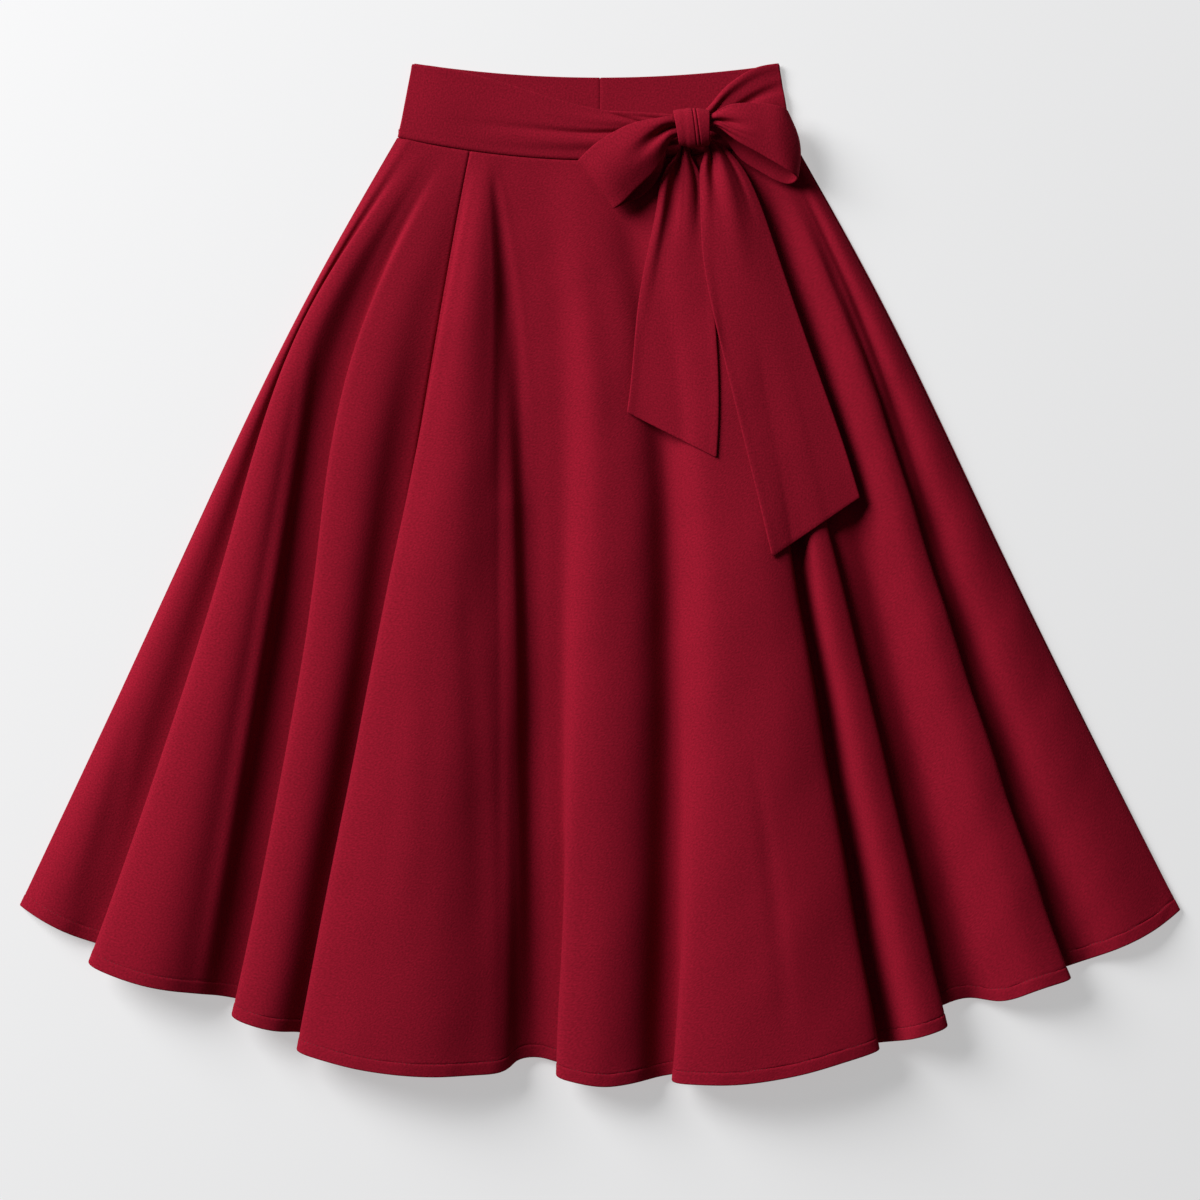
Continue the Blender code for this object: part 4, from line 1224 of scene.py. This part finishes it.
class SKIRT_OT_stage(bpy.types.Operator):
    """Makes the pale floor, the soft studio light and the camera straight above the skirt"""

    bl_idname = "skirt.stage"
    bl_label = "Stage"

    def execute(self, context):
        scene, stage = context.scene, context.scene.skirt_stage
        colours = scene.skirt_colours
        scene.view_settings.view_transform = "Standard"
        corners = FLOOR_REACH * np.array([[-1, -1], [1, -1], [1, 1], [-1, 1]])
        points = np.column_stack([corners, np.full(4, FLOOR_Z)])
        # The floor's material has a painted glow that fills the shadows round the skirt
        sheet = named_material("floor_with_painted_glow", floor_with_painted_glow)
        mesh_object("floor", points, np.array([[0, 1, 2, 3]]), corners, sheet)

        world = bpy.data.worlds.new("room")
        world.use_nodes = True
        background = world.node_tree.nodes["Background"]
        background.inputs["Color"].default_value = colours.sky
        background.inputs["Strength"].default_value = stage.room_strength
        scene.world = world

        key = bpy.data.lights.new("key_light", "AREA")
        key.shape = "SQUARE"
        key.size = KEY_SIZE
        key.energy = stage.key_strength
        key_object = bpy.data.objects.new("key_light", key)
        key_object.location = KEY_PLACE
        aim = key_object.location.to_track_quat("Z", "Y")
        key_object.rotation_euler = aim.to_euler()
        key_object.visible_camera = False
        scene.collection.objects.link(key_object)

        camera = bpy.data.cameras.new("camera")
        camera.sensor_width = SENSOR_WIDTH
        camera.lens = stage.lens
        camera_object = bpy.data.objects.new("camera", camera)
        height = stage.frame_width * camera.lens / camera.sensor_width
        camera_object.location = (0.0, CAMERA_Y, height)
        scene.collection.objects.link(camera_object)
        scene.camera = camera_object
        return {"FINISHED"}


class SKIRT_OT_back_panels(bpy.types.Operator):
    """Makes the two halves of the back, flat on the floor under the front"""

    bl_idname = "skirt.back_panels"
    bl_label = "Back panels"

    def execute(self, context):
        for node, side in BACK_PANELS.items():
            grid, thick, _, uv = back_panel(side, context.scene.skirt_sizes)
            cloth_piece(node, grid, thick, uv, "laid", ["floor"])
        return {"FINISHED"}


class SKIRT_OT_front_panels(bpy.types.Operator):
    """Makes the three front panels, with their folds, creases, seams and turned hem"""

    bl_idname = "skirt.front_panels"
    bl_label = "Front panels"

    def execute(self, context):
        for node in PANEL_COLUMNS:
            grid, thick, _, uv = front_cloth(node, context.scene.skirt_sizes)
            cloth_piece(node, grid, thick, uv, "laid", ["back_panel_left", "back_panel_right"])
        return {"FINISHED"}


class SKIRT_OT_seam_allowances(bpy.types.Operator):
    """Makes the allowances that are pressed open under the seams, so that nothing shows through"""

    bl_idname = "skirt.seam_allowances"
    bl_label = "Seam allowances"

    def execute(self, context):
        half = half_of(context.scene.skirt_sizes.cloth_thickness)
        left, right = (FRONT_LINE_NAMES.index(name) + SEAM_WAY for name in FRONT_SEAMS)
        strips = {
            "left": (*front_allowance(left, half), ALLOWANCE_HALF),
            "right": (*front_allowance(right, half), ALLOWANCE_HALF),
            "waist": (*waist_allowance(), ALLOWANCE_HALF),
            "back": (*back_allowance(), BACK_ALLOWANCE_HALF),
        }
        crepe_material = named_material("red_crepe", crepe)
        for name, (grid, uv, thick) in strips.items():
            piece = cloth_shell("seam_allowance_" + name, grid, thick, uv, crepe_material)
            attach(piece, "root")
        return {"FINISHED"}


class SKIRT_OT_hem_stitches(bpy.types.Operator):
    """Sews the hem of each panel with a line of stitches"""

    bl_idname = "skirt.hem_stitches"
    bl_label = "Hem stitches"

    def execute(self, context):
        sizes = context.scene.skirt_sizes
        margin = sizes.stitch_margin / MM
        material = named_material("thread", thread)
        panels = {node: front_cloth(node, sizes) for node in PANEL_COLUMNS}
        panels.update({node: back_panel(side, sizes) for node, side in BACK_PANELS.items()})
        for node, (grid, thick, up, _) in panels.items():
            path = row_at(top_of(grid, thick), up, margin)
            normal = row_at(normals(grid), up, margin)
            piece = line_of_stitches("hem_stitches_" + node, path, normal, sizes, material)
            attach(piece, "root")
        return {"FINISHED"}


class SKIRT_OT_back_waistband(bpy.types.Operator):
    """Makes the two halves of the back waistband, whose inside shows above the front"""

    bl_idname = "skirt.back_waistband"
    bl_label = "Back waistband"

    def execute(self, context):
        half = half_of(context.scene.skirt_sizes.cloth_thickness)
        for node, side in BACK_BANDS.items():
            cloth_piece(node, *back_band(side, half), "laid", ["floor"])
        return {"FINISHED"}


class SKIRT_OT_front_waistband(bpy.types.Operator):
    """Makes the front waistband, gathered from both sides towards the knot"""

    bl_idname = "skirt.front_waistband"
    bl_label = "Front waistband"

    def execute(self, context):
        for node, band in front_bands(context.scene.skirt_sizes).items():
            cloth_piece(node, *band, "gathered", ["waistband_back_left", "waistband_back_right"])
        return {"FINISHED"}


class SKIRT_OT_tie_tails(bpy.types.Operator):
    """Lays the two tails of the tie over the waistband and the front"""

    bl_idname = "skirt.tie_tails"
    bl_label = "Tie tails"

    def execute(self, context):
        sizes = context.scene.skirt_sizes
        half = half_of(sizes.tie_thickness)
        under = [top_of(*front_cloth(node, sizes)[:2]) for node in PANEL_COLUMNS]
        under += [top_of(grid, thick) for grid, thick, _ in front_bands(sizes).values()]
        tails = (
            ("tie_tail_short", TAIL_SHORT, TAIL_SHORT_GATHERS),
            ("tie_tail_long", TAIL_LONG, TAIL_LONG_GATHERS),
        )
        for node, table, gathers in tails:
            grid, thick, uv = ribbon(table, gathers, half)
            grid = lifted(grid, thick, under)
            under.append(top_of(grid, thick))
            cloth_piece(node, grid, thick, uv, "draped", ["front_centre", "front_side_right"])
        return {"FINISHED"}


class SKIRT_OT_bow_loops(bpy.types.Operator):
    """Makes the two loops of the bow"""

    bl_idname = "skirt.bow_loops"
    bl_label = "Bow loops"

    def execute(self, context):
        half = half_of(context.scene.skirt_sizes.tie_thickness)
        loops = (
            ("bow_loop_left", LOOP_LEFT, LOOP_LEFT_GATHERS),
            ("bow_loop_right", LOOP_RIGHT, LOOP_RIGHT_GATHERS),
        )
        bands = ["waistband_front_left", "waistband_front_right"]
        for node, table, gathers in loops:
            cloth_piece(node, *ribbon(table, gathers, half), "folded", bands)
        return {"FINISHED"}


class SKIRT_OT_bow_knot(bpy.types.Operator):
    """Makes the knot that holds the bow's gathers"""

    bl_idname = "skirt.bow_knot"
    bl_label = "Bow knot"

    def execute(self, context):
        knot = knot_wrap(half_of(context.scene.skirt_sizes.tie_thickness))
        cloth_piece("bow_knot", *knot, "folded", ["bow_loop_left", "bow_loop_right"])
        return {"FINISHED"}


OPERATORS = (
    SKIRT_OT_stage,
    SKIRT_OT_back_panels,
    SKIRT_OT_front_panels,
    SKIRT_OT_seam_allowances,
    SKIRT_OT_hem_stitches,
    SKIRT_OT_back_waistband,
    SKIRT_OT_front_waistband,
    SKIRT_OT_tie_tails,
    SKIRT_OT_bow_loops,
    SKIRT_OT_bow_knot,
)
PROPERTY_GROUPS = {
    "skirt_sizes": SkirtSizes,
    "skirt_colours": SkirtColours,
    "skirt_stage": SkirtStage,
}


class SKIRT_PT_pieces(bpy.types.Panel):
    """Lists the skirt's pieces with the sizes and colours that they are made from"""

    bl_idname = "SKIRT_PT_pieces"
    bl_label = "Flared Midi Skirt"
    bl_space_type = "VIEW_3D"
    bl_region_type = "UI"
    bl_category = "Skirt"

    def draw(self, context):
        for name, group in PROPERTY_GROUPS.items():
            box = self.layout.box()
            for key in group.__annotations__:
                box.prop(getattr(context.scene, name), key)
        for operator in OPERATORS:
            self.layout.operator(operator.bl_idname)


def register():
    for cls in (*PROPERTY_GROUPS.values(), *OPERATORS, SKIRT_PT_pieces):
        bpy.utils.register_class(cls)
    for name, group in PROPERTY_GROUPS.items():
        setattr(bpy.types.Scene, name, bpy.props.PointerProperty(type=group))


def unregister():
    for name in PROPERTY_GROUPS:
        delattr(bpy.types.Scene, name)
    for cls in (SKIRT_PT_pieces, *OPERATORS[::-1], *PROPERTY_GROUPS.values()):
        bpy.utils.unregister_class(cls)


def main():
    """Makes the whole skirt on its stage."""
    register()
    for operator in OPERATORS:
        group, action = operator.bl_idname.split(".")
        getattr(getattr(bpy.ops, group), action)()


if __name__ == "__main__":
    main()
